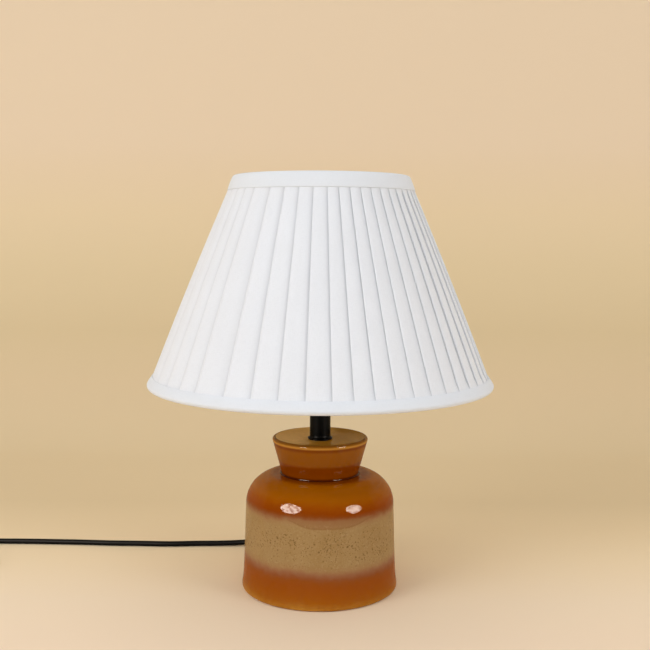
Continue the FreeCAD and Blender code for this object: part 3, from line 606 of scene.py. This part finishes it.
# Lampholder shell: black and moulded, threaded outside for the shade ring, with the flange that the
# shade's fitter ring sits on.
shell_turns = 192
turned("holder_shell_threaded", "holder_shell", black, shell_turns, 50,
       [(15.6, 232.05), (19.2, 232.05), (19.6, 232.4), (19.6, 233.8), (23.4, 234.0), (24.0, 234.6),
        (24.0, 236.6), (23.7, 237.0), (19.7, 237.0), (19.0, 237.2)],
       thread(237.6, 262.9, 19.55, 0.6, 2.5, shell_turns, 10, 1.4),
       [(19.0, 263.1), (18.4, 264.0), (14.5, 264.0), (14.1, 263.6), (14.1, 240.0), (15.6, 240.0)])


# Shade ring: a black moulded ring nut with finger grips, run down the shell's thread onto the fitter ring
# to hold the shade.
rounded("shade_ring", black)


# Bulb: an E27 screw cap of rolled aluminium, a black glass insulator with a soldered tip, and a pear-shaped
# envelope, white inside, cemented into the cap.
aluminium = metal("bulb_cap_metal", (206, 206, 204), 0.28, (60, 60, 500))
rolled_shell("bulb_cap_rolled", "bulb_cap", aluminium, 253.0, 268.6, 13.25, 0.3,
             [(12.9, 252.2), (11.8, 250.95), (8.5, 250.9), (8.5, 250.65), (12.1, 250.65), (13.2, 252.0)])
rounded("bulb_insulator", moulded("bulb_black", (15, 14, 18), 0.12))


def solder():
    """Dull tin with the ripples that it froze in."""
    finish = Finish("solder")
    ripple = finish.noise(700, 3)
    tone = finish.mix(ripple, (176, 176, 178), (132, 132, 136))
    return finish.surface(Base_Color=tone, Metallic=1.0, Roughness=0.42, Normal=finish.bump(ripple, 0.0004))


rounded("bulb_contact", solder())


glass_neck = 12.85
glass_globe = 30.0
glass_globe_z = 322.6
glass_wall = 0.9


def glass_outline():
    """Neck, flank and globe outside, then the same line a wall's thickness further in."""
    globe = (0.0, glass_globe_z)
    blend = bow(globe, glass_globe, -38, -38, 1)[0]
    flank = curve((glass_neck, 271.0), (glass_neck, 281.0), blend - np.array([9.2, 11.8]), blend, 24)
    outside = np.concatenate([[(glass_neck, 263.7)], flank, bow(globe, glass_globe, -35, 89.6, 44)])
    heading = np.gradient(outside, axis=0)
    inward = np.stack([-heading[:, 1], heading[:, 0]], 1) / np.linalg.norm(heading, axis=1)[:, None]
    inside = outside + glass_wall * inward
    inside[:, 0] = np.maximum(inside[:, 0], 0.1)
    return np.concatenate([outside, inside[::-1]])


def pearl_glass():
    """White-coated glass: soft inside, glossy outside."""
    finish = Finish("pearl_glass")
    cloud = finish.noise(35, 2)
    tone = finish.mix(cloud, (246, 244, 238), (238, 236, 230))
    return finish.surface(Base_Color=tone, Roughness=0.28, Coat_Weight=1.0, Subsurface_Weight=0.25,
                          Subsurface_Scale=0.004)


turned("bulb_glass_blown", "bulb_glass", pearl_glass(), 160, 60, glass_outline())


# Shade frame: steel wire, welded and painted white. Two rims, eight straight struts, and three cranked
# arms that carry the flat fitter ring.
def painted_wire():
    """White paint over wire, thicker and rougher in places."""
    finish = Finish("painted_wire")
    runs = finish.noise(420, 3)
    patch = finish.noise(50, 3)
    tone = finish.mix(patch, (234, 232, 226), (222, 219, 210))
    return finish.surface(Base_Color=tone, Roughness=0.34 + 0.2 * (runs - 0.5), Coat_Weight=0.3,
                          Normal=finish.bump(runs, 0.00012))


wire_paint = painted_wire()
for node in ("top_ring", "bottom_ring", "struts", "fitter_arms", "fitter_ring"):
    rounded(node, wire_paint, 45)


# Shade cover: one strip of white cloth, knife-pleated by hand and stretched over the frame. Each pleat's
# fold stands out at its left. Seven pleats share each of the four panels on the right, and five each of the
# four on the left.
top_ring_at = (85.7, 417.2)
bottom_ring_at = (172.2, 213.0)
seam_top_z = 406.6
seam_bottom_z = 221.5
strut_top_radius = 84.7
strut_bottom_radius = 168.8
cover_stand_off = 4.53
cover_seam_ease = 0.43
first_fold_at = 3.8 - 90
pleat_tuck = 3.2
pleat_ply = 0.24
pleat_depth = 1.2
seam_depth = 0.45
chance = np.random.default_rng(7)


def strut_radius(z):
    """Radius of the struts' line at a height, straight between its ends."""
    share = (top_ring_at[1] - z) / (top_ring_at[1] - bottom_ring_at[1])
    return strut_top_radius + share * (strut_bottom_radius - strut_top_radius)


def cover_radius(z):
    """Radius of the outer folds at a height: a cone round the struts, fuller by half a sine wave."""
    share = (seam_top_z - z) / (seam_top_z - seam_bottom_z)
    full = np.sin(np.pi * np.clip(share, 0, 1))
    return strut_radius(z) + cover_stand_off - cover_seam_ease * share + full


def pleat_angles():
    """Angles of the outer folds: even in the panels on the right, ever closer in each on the left."""
    even = np.arange(7) / 7
    closing = (np.arange(5) / 5) ** 0.85
    panels = [panel + even for panel in range(4)] + [panel + closing for panel in range(4, 8)]
    return np.radians(first_fold_at + 45 * np.concatenate(panels))


def pleated_grid():
    """Grid of the cloth: a row at each height, and a column for each place along the folded strip.

    From its outer fold a pleat lies level for a while and then bends inwards, as deep as the next fold stands
    out over it. It runs on under that fold as far as the cloth reaches, turns back one ply higher and comes
    up to the next outer fold. The second result is the weight of painted shade at each point, from 0 to 1:
    full where the cloth lies hidden under a fold, fading over the last few millimetres before the next fold
    and up the lower part of its wall.
    """
    ease = np.array([0.0, 0.5, 1.0])
    low = np.concatenate([216.2 + 5.3 * ease, seam_bottom_z + np.array([1.5, 3.5, 6.5, 11.0])])
    high = np.concatenate([seam_top_z - np.array([11.0, 6.5, 3.5, 1.5]), seam_top_z + 8.0 * ease])
    z = np.concatenate([low, np.linspace(low[-1], high[0], 22)[1:-1], high])
    rows = len(z)
    angles = pleat_angles()
    pleats = len(angles)
    gap = np.diff(np.append(angles, angles[0] + 2 * np.pi))
    # The bindings press the pleats flat for 7 mm beside their seams.
    free = np.clip(np.minimum(z - seam_bottom_z, seam_top_z - z) / 7.0, 0, 1)
    free = free * free * (3 - 2 * free)
    deep = seam_depth + free[:, None] * pleat_depth * (1 + 0.18 * chance.standard_normal(pleats))
    level = 0.34 + 0.07 * chance.standard_normal(pleats)
    # Each fold wanders a little from its straight line, and keeps it where the bindings hold it.
    height = (z - z[0]) / (z[-1] - z[0])
    wander = sum(0.1 / wave ** 2 * np.sin(np.pi * wave * height)[:, None] * chance.standard_normal(pleats)
                 for wave in (1, 2, 3))
    radius = cover_radius(z)[:, None]
    fold = angles + wander / radius
    # The last column of folds is the first one again, a full turn on.
    next_fold = np.roll(fold, -1, 1) + np.where(np.arange(pleats) == pleats - 1, 2 * np.pi, 0)
    shown = (next_fold - fold) * radius
    hidden = pleat_tuck + gap * (cover_radius(seam_bottom_z) - radius) / 2
    hidden = np.clip(hidden, 1.5, 0.66 * np.roll(shown, -1, 1))
    step = deep - pleat_ply

    columns = []
    back = [shown * (1 - share) for share in (0.0, 0.1, 0.24, 0.36, 0.46, 0.56, 0.66)]
    for left in back + [3.4, 2.3, 1.4, 0.6, 0.0]:
        share = 1 - left / shown
        bend = np.clip((share - level) / (1 - level), 0, 1)
        # Painted shade, strongest in the last millimetres before the next fold, where it stands over the
        # pleat.
        tuck = 0.6 * np.exp(-(left / 3.0) ** 2) + 0.4 * np.exp(-(left / 0.8) ** 2)
        columns.append((fold + shown * share / radius, deep * bend ** 1.35, tuck))
    for share in (0.2, 0.55, 0.9):
        columns.append((next_fold + hidden * share / radius, deep, 1.0))
    for degrees in (-60, 0, 60):
        swing = math.radians(degrees)
        reach = hidden + pleat_ply * 0.5 * math.cos(swing)
        columns.append((next_fold + reach / radius, step + pleat_ply * (0.5 - 0.5 * math.sin(swing)), 1.0))
    for share in (0.9, 0.55, 0.2):
        columns.append((next_fold + hidden * share / radius, step, 1.0))
    for aside, share in ((0.12, 0.96), (0.05, 0.82), (0.0, 0.6), (-0.04, 0.36), (-0.06, 0.16), (-0.04, 0.05)):
        columns.append((next_fold + aside / radius, step * share, 0.4 * max(0.0, share - 0.5)))
    angle, depth, tuck = (np.stack([np.broadcast_to(column[part], (rows, pleats)) for column in columns],
                                   2).reshape(rows, -1) for part in range(3))
    out = (radius - depth) * 0.001
    height = np.broadcast_to(z[:, None] * 0.001, out.shape)
    return np.stack([out * np.cos(angle), out * np.sin(angle), height], -1), tuck


def strip_map(piece, grid):
    """Writes each corner's place on the flat cloth, in metres, as the piece's texture coordinates."""
    step = np.linalg.norm(np.diff(np.concatenate([grid, grid[:, :1]], 1), axis=1), axis=2)
    rise = np.linalg.norm(np.diff(grid, axis=0), axis=2)
    along = np.concatenate([[0], np.cumsum(step.mean(0))])
    up = np.concatenate([[0], np.cumsum(rise.mean(1))])
    columns = grid.shape[1]
    rows = len(piece.data.polygons) // columns
    row, column = np.divmod(np.arange(rows * columns), columns)
    corner_column = np.stack([column, column + 1, column + 1, column], 1)
    corner_row = np.stack([row, row, row + 1, row + 1], 1)
    flat = np.stack([along[corner_column], up[np.minimum(corner_row, len(up) - 1)]], -1)
    layer = piece.data.uv_layers.new(name="cloth")
    layer.data.foreach_set("uv", flat.reshape(-1).astype(np.float32))


def cloth(name, colour, weave=0.00042, slub=1.0, shaded_folds=False):
    """White woven cloth: threads over and under, slubs along them and a nap, and, for the pleated cover,
    painted shade in the tucks and beside each fold.
    """
    finish = Finish(name)
    u, v, _ = finish.axes(finish.place("UV"))
    warp = (u * (2 * math.pi / weave)).wave()
    weft = (v * (2 * math.pi / weave)).wave()
    threads = warp * weft
    slubs = finish.noise(1.0, 2, finish.vector(u * 220, v * 2600, 0.0)) + finish.noise(
        1.0, 2, finish.vector(u * 2600, v * 220, 5.0))
    cloud = finish.noise(28, 3)
    tone = finish.mix(cloud, colour, [part - 5 for part in colour])
    tone = finish.mix(slubs.ramp(0.9, 1.3) * 0.16 * slub, tone, [part - 34 for part in colour])
    # Painted shade: greyer where the attribute says the cloth lies in the tucks or just before a fold.
    if shaded_folds:
        tuck = finish.node("Attribute", {"attribute_name": "tuck"}, output="Fac")
        tone = finish.mix(tuck, tone, [part - 28 for part in colour])
    height = threads * 0.3 + slubs * 0.7
    return finish.surface(Base_Color=tone, Roughness=0.88, Sheen_Weight=0.12,
                          Normal=finish.bump(height, 0.00007))


cloth_grid, cloth_fold_shade = pleated_grid()
cover = shell("shade_cover_pleated", cloth_grid, [cloth("shade_cloth", (227, 230, 235), shaded_folds=True)],
              along=False, crease=75)
# The attribute carries the painted shade of the folds.
cover.data.attributes.new("tuck", "FLOAT", "POINT").data.foreach_set("value", cloth_fold_shade.reshape(-1))
strip_map(cover, cloth_grid)
cover_ply = cover.modifiers.new("ply", "SOLIDIFY")
cover_ply.thickness = 0.00022
cover_ply.offset = 0.0
stand_for(cover, "shade_cover")


# Bindings: bands of the same cloth cut on the cross, folded over the two rims and glued, so that they
# cover the cover's edges. Their ends overlap at the back.
band_wall = 0.55
band_lap_at = 90


def touch(centre, radius, point, side):
    """Angle at which the line from a point touches a circle.

    It is the point's direction from the centre, turned aside by the arc cosine of radius over distance.
    """
    away = np.array(point) - np.array(centre)
    return math.degrees(math.atan2(away[1], away[0]) + side * math.acos(radius / np.hypot(*away)))


def band_outline(ring_at, roll, outer_edge, inner_edge, side):
    """Closed loop round a folded band: outer leaf, roll over the rim and inner leaf, with rounded edges.

    The side is 1 for a band that rolls over the top of its ring, and -1 under the bottom.
    """
    half = band_wall / 2
    middle = roll - half
    outer = touch(ring_at, middle, outer_edge, side)
    inner = side * (side * touch(ring_at, middle, inner_edge, -side) % 360)
    over = bow(ring_at, middle, outer, inner, 30)
    leaf = np.linspace(outer_edge, over[0], 9)[:-1]
    out = over[0] - np.array(outer_edge)
    across = np.array([out[1], -out[0]]) * side / np.hypot(*out)
    leaf = leaf + np.sin(np.linspace(0, np.pi, 9))[:-1, None] * across * 0.22
    back = np.linspace(over[-1], inner_edge, 7)[1:]
    line = np.concatenate([leaf, over, back])
    heading = np.gradient(line, axis=0)
    normal = np.stack([heading[:, 1], -heading[:, 0]], 1) / np.linalg.norm(heading, axis=1)[:, None]
    skin = line + normal * half * side
    lining = line - normal * half * side
    swing = np.array([[0.9], [0.0], [-0.9]])
    ends = []
    for index, sign in ((-1, 1), (0, -1)):
        tip = heading[index] / np.linalg.norm(heading[index]) * sign
        rise = normal[index] * side * sign
        ends.append(line[index] + tip * half * np.cos(swing) + rise * half * np.sin(swing))
    return np.concatenate([skin, ends[0], lining[::-1], ends[1]])


def puckers(outline, turns):
    """Swell of a band: six leaning sine waves, lower the more crests they have, and a lap at the back."""
    angle = np.linspace(0, 2 * np.pi, turns, endpoint=False)
    swell = np.zeros((len(outline), turns))
    for count in (9, 14, 23, 31, 47, 62):
        lean = chance.uniform(-0.05, 0.05)
        phase = count * angle + chance.uniform(0, 2 * np.pi)
        swell += 0.128 / count ** 0.6 * np.sin(phase[None, :] + lean * count * outline[:, 1, None])
    lap = np.clip(np.degrees(angle) - band_lap_at, -20, 20)
    swell += 0.35 / (1 + np.exp(-(lap + 2.2) * 6)) / (1 + np.exp((lap - 2.2) * 6))
    return swell


def binding(name, node, ring_at, roll, outer_edge, inner_edge, side):
    """Band rolled over one ring, from its edge outside the cover to its edge inside.

    The loop of the lower band runs the other way round, so that its faces point outwards too.
    """
    turns = 440
    outline = band_outline(ring_at, roll, outer_edge, inner_edge, side)[::side]
    grid = turn(outline, turns, puckers(outline, turns))
    piece = shell(name, grid, [band_cloth], crease=80)
    strip_map(piece, grid)
    stand_for(piece, node)
    return piece


# The bands' cloth is painted a little greyer than the cover's, though it is the same cloth, as painted shade
# that tones down the light the rims catch.
band_cloth = cloth("band_cloth", (221, 225, 230), 0.0005, 0.7)
top_band = binding("top_binding_folded", "top_binding", top_ring_at, 4.2,
                   (cover_radius(seam_top_z) + 0.35, seam_top_z), (85.6, 409.2), 1)
bottom_band = binding("bottom_binding_folded", "bottom_binding", bottom_ring_at, 3.0,
                      (cover_radius(seam_bottom_z) + 0.35, seam_bottom_z), (167.2, 220.0), -1)


# Lead inside the jar and its two cores: black flex from the relief up the threaded tube, where the sheath
# ends below the switch and brown and blue cores go to the terminals.
sheath = moulded("cord_sheath", (5, 5, 5), 0.5, 0.00005)
rounded("inner_cord", sheath, 60)
rounded("live_core", moulded("live_sheath", (104, 62, 34), 0.4), 60)
rounded("neutral_core", moulded("neutral_sheath", (34, 84, 160), 0.4), 60)


# Lead: 1.8 m of round black two-core flex. It drops from the relief to the table, runs off to the left
# behind the jar, and the rest is put away in a round coil of two layers.
lead_diameter = 0.006
lead_route = [relief_tip - 5 * relief_direction, relief_tip, relief_tip + 16 * relief_direction,
              (-67.7, 115.0, 7.8), (-87.2, 118.6, 3.9), (-116.0, 117.2, 3.05), (-146.0, 116.4, 3.05),
              (-176.0, 113.6, 3.05), (-208.0, 115.4, 3.05), (-242.0, 115.8, 3.05), (-278.0, 118.5, 3.05),
              (-314.0, 120.0, 3.05), (-346.0, 120.9, 3.05), (-374.0, 120.7, 3.05), (-402.0, 120.6, 4.0),
              (-430.0, 120.6, 4.0)]
coil_start = (-436.0, 120.6, 4.0)
coil_start_radius = 43.3
coil_pitch = 6.6
coil_half_turns = 6


def coil_points():
    """Half turns wound inwards, one climbing to the second layer, then out again: eight points each.

    The points stand off the turn, so that the line through the middles of their runs lies on it.
    """
    points = []
    here = np.array(coil_start)
    inwards = list(range(coil_half_turns))
    for count, steps in enumerate(inwards + [coil_half_turns] + inwards[::-1]):
        radius = coil_start_radius - steps * coil_pitch / 2
        stand_off = radius / math.cos(math.pi / 16)
        side = 1 if count % 2 == 0 else -1
        climb = coil_pitch if count == coil_half_turns else 0.0
        middle = here - np.array([0, side * radius, 0])
        for step in range(8):
            swing = math.pi * (step + 0.5) / 8
            place = (-side * stand_off * math.sin(swing), side * stand_off * math.cos(swing),
                     climb * (1 - math.cos(swing)) / 2)
            points.append(middle + np.array(place))
        here = here + np.array([0, -2 * side * radius, climb])
    return points, here


coil_route, coil_last = coil_points()
lead_end = coil_last + np.array([6.0, 0, 0])
lead_points = lead_route + coil_route + [lead_end]
lead_curve = bpy.data.curves.new("lead", "CURVE")
lead_curve.dimensions = "3D"
lead_spline = lead_curve.splines.new("NURBS")
lead_spline.points.add(len(lead_points) - 1)
for control, point in zip(lead_spline.points, lead_points):
    control.co = (*(0.001 * part for part in point), 1.0)
lead_spline.order_u = 3
lead_spline.use_endpoint_u = True
lead_curve.resolution_u = 8
lead_curve.bevel_depth = lead_diameter / 2
lead_curve.bevel_resolution = 5
lead_curve.use_fill_caps = True
lead_curve.materials.append(sheath)
lead = add("lead", lead_curve)
stand_for(lead, "cord", "cord_coil")


# Cord tie: a flat strap of black plastic, drawn tight round the coil's turns so that they keep their
# place.
tie = rounded("cord_tie", moulded("tie_strap", (20, 20, 21), 0.5, 0.0001), 50)


# Plug: black plastic moulded round its two pins and the lead's end, oval in section, with a waist for the
# grip and a ribbed boot.
def plug_grid():
    """Sections along the plug: half width times cosine and half height times sine, to a power for corners."""
    place = np.array([0, 8, 18, 22, 27, 34, 42, 50.0])
    width = np.array([3.4, 3.7, 5.2, 9.4, 12.0, 11.6, 12.6, 12.9])
    height = np.array([3.4, 3.7, 5.2, 7.7, 9.4, 9.2, 10.1, 10.4])
    square = np.array([2.0, 2.0, 2.0, 2.3, 2.6, 2.8, 3.0, 3.0])
    x = np.concatenate([np.linspace(0, 18, 46), np.linspace(18, 49.0, 34)[1:], [49.5, 49.85, 50.0]])
    boot = np.clip((17.5 - x) / 2, 0, 1) * np.clip(x / 1.5, 0, 1)
    rib = 0.3 * boot * np.maximum(0, np.cos(2 * np.pi * x / 3.0)) ** 1.5
    edge = np.array([0.0] * (len(x) - 3) + [0.15, 0.5, 1.1])
    half_width = np.interp(x, place, width) - rib - edge
    half_height = np.interp(x, place, height) - rib - edge
    power = 2 / np.interp(x, place, square)[:, None]
    angle = np.linspace(0, 2 * np.pi, 72, endpoint=False)
    y = np.sign(np.cos(angle)) * np.abs(np.cos(angle)) ** power * half_width[:, None]
    z = np.sign(np.sin(angle)) * np.abs(np.sin(angle)) ** power * half_height[:, None]
    grid = np.stack([np.broadcast_to(x[:, None], y.shape), y, z], -1)
    ends = [grid[[end]].mean(1) + 0.02 * (grid[[end]] - grid[[end]].mean(1)) for end in (0, -1)]
    return (np.concatenate([ends[0], grid, ends[1]]) + lead_end) * 0.001


plug = shell("plug_body_moulded", plug_grid(), [moulded("plug_plastic", (20, 20, 21), 0.38)],
             along=False, crease=50)
stand_for(plug, "plug_body")


def sleeved_pin():
    """Nickel-plated brass, with an insulating sleeve over the half next to the plug."""
    finish = Finish("pin_metal")
    x = finish.axes(finish.place())[0]
    sleeve = x.ramp(-0.3708, -0.3711)
    lines = finish.noise(800, 2)
    tone = finish.mix(sleeve, (196, 192, 182), (18, 18, 19))
    return finish.surface(Base_Color=tone, Metallic=1 - sleeve, Roughness=0.26 + 0.16 * sleeve + 0.06 * lines,
                          Normal=finish.bump(lines, 0.00002))


pins = rounded("plug_pins", sleeved_pin(), 40)


# Stage, lights and camera stand apart from the lamp: a pale table that sweeps up into a warm wall, a large
# soft light to the left, a weaker one to the right, each with an oval that only the glaze mirrors, and the
# room's own light.
def plain_backdrop():
    """Table and wall in one sheet: flat, then a quarter circle, then upright."""
    reach = 12.0
    bend_y = 0.55
    bend = 0.5
    height = 3.0
    angle = np.linspace(0, 0.5 * np.pi, 24)
    line = np.concatenate([[(-reach, 0.0)],
                           np.stack([bend_y + bend * np.sin(angle), bend - bend * np.cos(angle)], 1),
                           [(bend_y + bend, height)]])
    x = np.linspace(-reach, reach, 9)
    grid = np.empty((len(x), len(line), 3))
    grid[..., 0] = x[:, None]
    grid[..., 1] = line[:, 0]
    grid[..., 2] = line[:, 1]
    finish = Finish("backdrop_paint")
    _, y, z = finish.axes(finish.place())
    # The tones run from the near table to the top of the wall, by metres along the sheet. The dip 1.3 m in
    # front is painted darker, as painted shade that tones down the pool of light the lamps throw on the table
    # there.
    tone = finish.tone_at(y + z, -5.0, 2.0, [
        (-4.5, 253, 243, 226), (-2.6, 248, 232, 206), (-1.3, 222, 202, 174), (-0.5, 240, 217, 188),
        (-0.15, 245, 221, 191), (-0.05, 244, 222, 191), (0.07, 244, 221, 183), (0.18, 236, 212, 171),
        (0.3, 226, 203, 162), (0.6, 225, 203, 163), (0.9, 221, 196, 156), (1.1, 217, 193, 151),
        (1.3, 224, 201, 160), (1.45, 231, 208, 170), (1.6, 234, 212, 182)])
    finish.surface(Base_Color=tone, Roughness=0.9, Specular_IOR_Level=0.1)
    # Only its front shows, so that it hides nothing from behind or below.
    back = finish.node("NewGeometry", output="Backfacing")
    clear = finish.node("BsdfTransparent")
    paint = Reading(finish, finish.shader.outputs[0])
    one_sided = finish.node("MixShader", inputs={0: back, 1: paint, 2: clear})
    finish.feed(finish.tree.nodes["Material Output"].inputs["Surface"], one_sided)
    shell("backdrop", grid[::-1], [finish.material], across=False, along=False)


plain_backdrop()


def soft_light(name, azimuth, elevation, distance, width, height, power, colour, mirror_only=False):
    """Flat lamp aimed at the jar, placed by the angle at which the jar sees it, oval if it only glints."""
    lamp = bpy.data.lights.new(name, "AREA")
    lamp.shape = "ELLIPSE" if mirror_only else "RECTANGLE"
    lamp.size = width
    lamp.size_y = height
    lamp.energy = power
    lamp.color = colour
    holder = add(name, lamp)
    swing = Matrix.Rotation(math.radians(azimuth), 4, "Z")
    tilt = Matrix.Rotation(math.radians(90 - elevation), 4, "X")
    aim = Matrix.Translation((0, 0, 0.15))
    holder.matrix_world = aim @ swing @ tilt @ Matrix.Translation((0, 0, distance))
    holder.visible_diffuse = not mirror_only
    holder.visible_glossy = mirror_only
    holder.visible_camera = False


cool_white = (0.98, 0.99, 1.0)
warm_glint = (0.98, 0.87, 0.75)
soft_light("left_light", -52, 26, 2.2, 1.1, 1.1, 15, cool_white)
soft_light("right_light", 57, 24, 2.4, 0.9, 0.9, 10.5, cool_white)
soft_light("left_glint", -47, 22, 2.0, 1.15, 1.1, 130, warm_glint, mirror_only=True)
soft_light("right_glint", 55, 19, 2.0, 0.9, 0.95, 82, warm_glint, mirror_only=True)

room = bpy.data.worlds.new("room")
bpy.context.scene.world = room
room.use_nodes = True
room_nodes = room.node_tree.nodes
room_links = room.node_tree.links
room_light = room_nodes["Background"]
rays = room_nodes.new("ShaderNodeLightPath")
# Glossy surfaces mirror a dim room, so that the glaze keeps its depth between the glints.
strength = room_nodes.new("ShaderNodeMapRange")
strength.inputs["To Min"].default_value = 0.78
strength.inputs["To Max"].default_value = 0.1
room_links.new(rays.outputs["Is Glossy Ray"], strength.inputs["Value"])
room_links.new(strength.outputs[0], room_light.inputs["Strength"])
# Beyond the sheet's edges the camera sees the wall's own tone.
tone = room_nodes.new("ShaderNodeMix")
tone.data_type = "RGBA"
tone.inputs[6].default_value = srgb(245, 249, 255)
tone.inputs[7].default_value = srgb(244, 224, 196)
room_links.new(rays.outputs["Is Camera Ray"], tone.inputs[0])
room_links.new(tone.outputs[2], room_light.inputs["Color"])

photo_width = 650
focal_pixels = 960
camera_distance = 0.9751
camera_height = 0.364
camera_aside = 0.0044
camera_pitch = 5.45
camera_roll = 0.31
camera_lens = bpy.data.cameras.new("camera")
camera_lens.sensor_width = 36.0
camera_lens.lens = camera_lens.sensor_width * focal_pixels / photo_width
camera = add("camera", camera_lens)
camera.matrix_world = (Matrix.Translation((camera_aside, -camera_distance, camera_height))
                       @ Matrix.Rotation(math.radians(90 - camera_pitch), 4, "X")
                       @ Matrix.Rotation(math.radians(camera_roll), 4, "Z"))
bpy.context.scene.camera = camera
bpy.context.scene.view_settings.view_transform = "Standard"
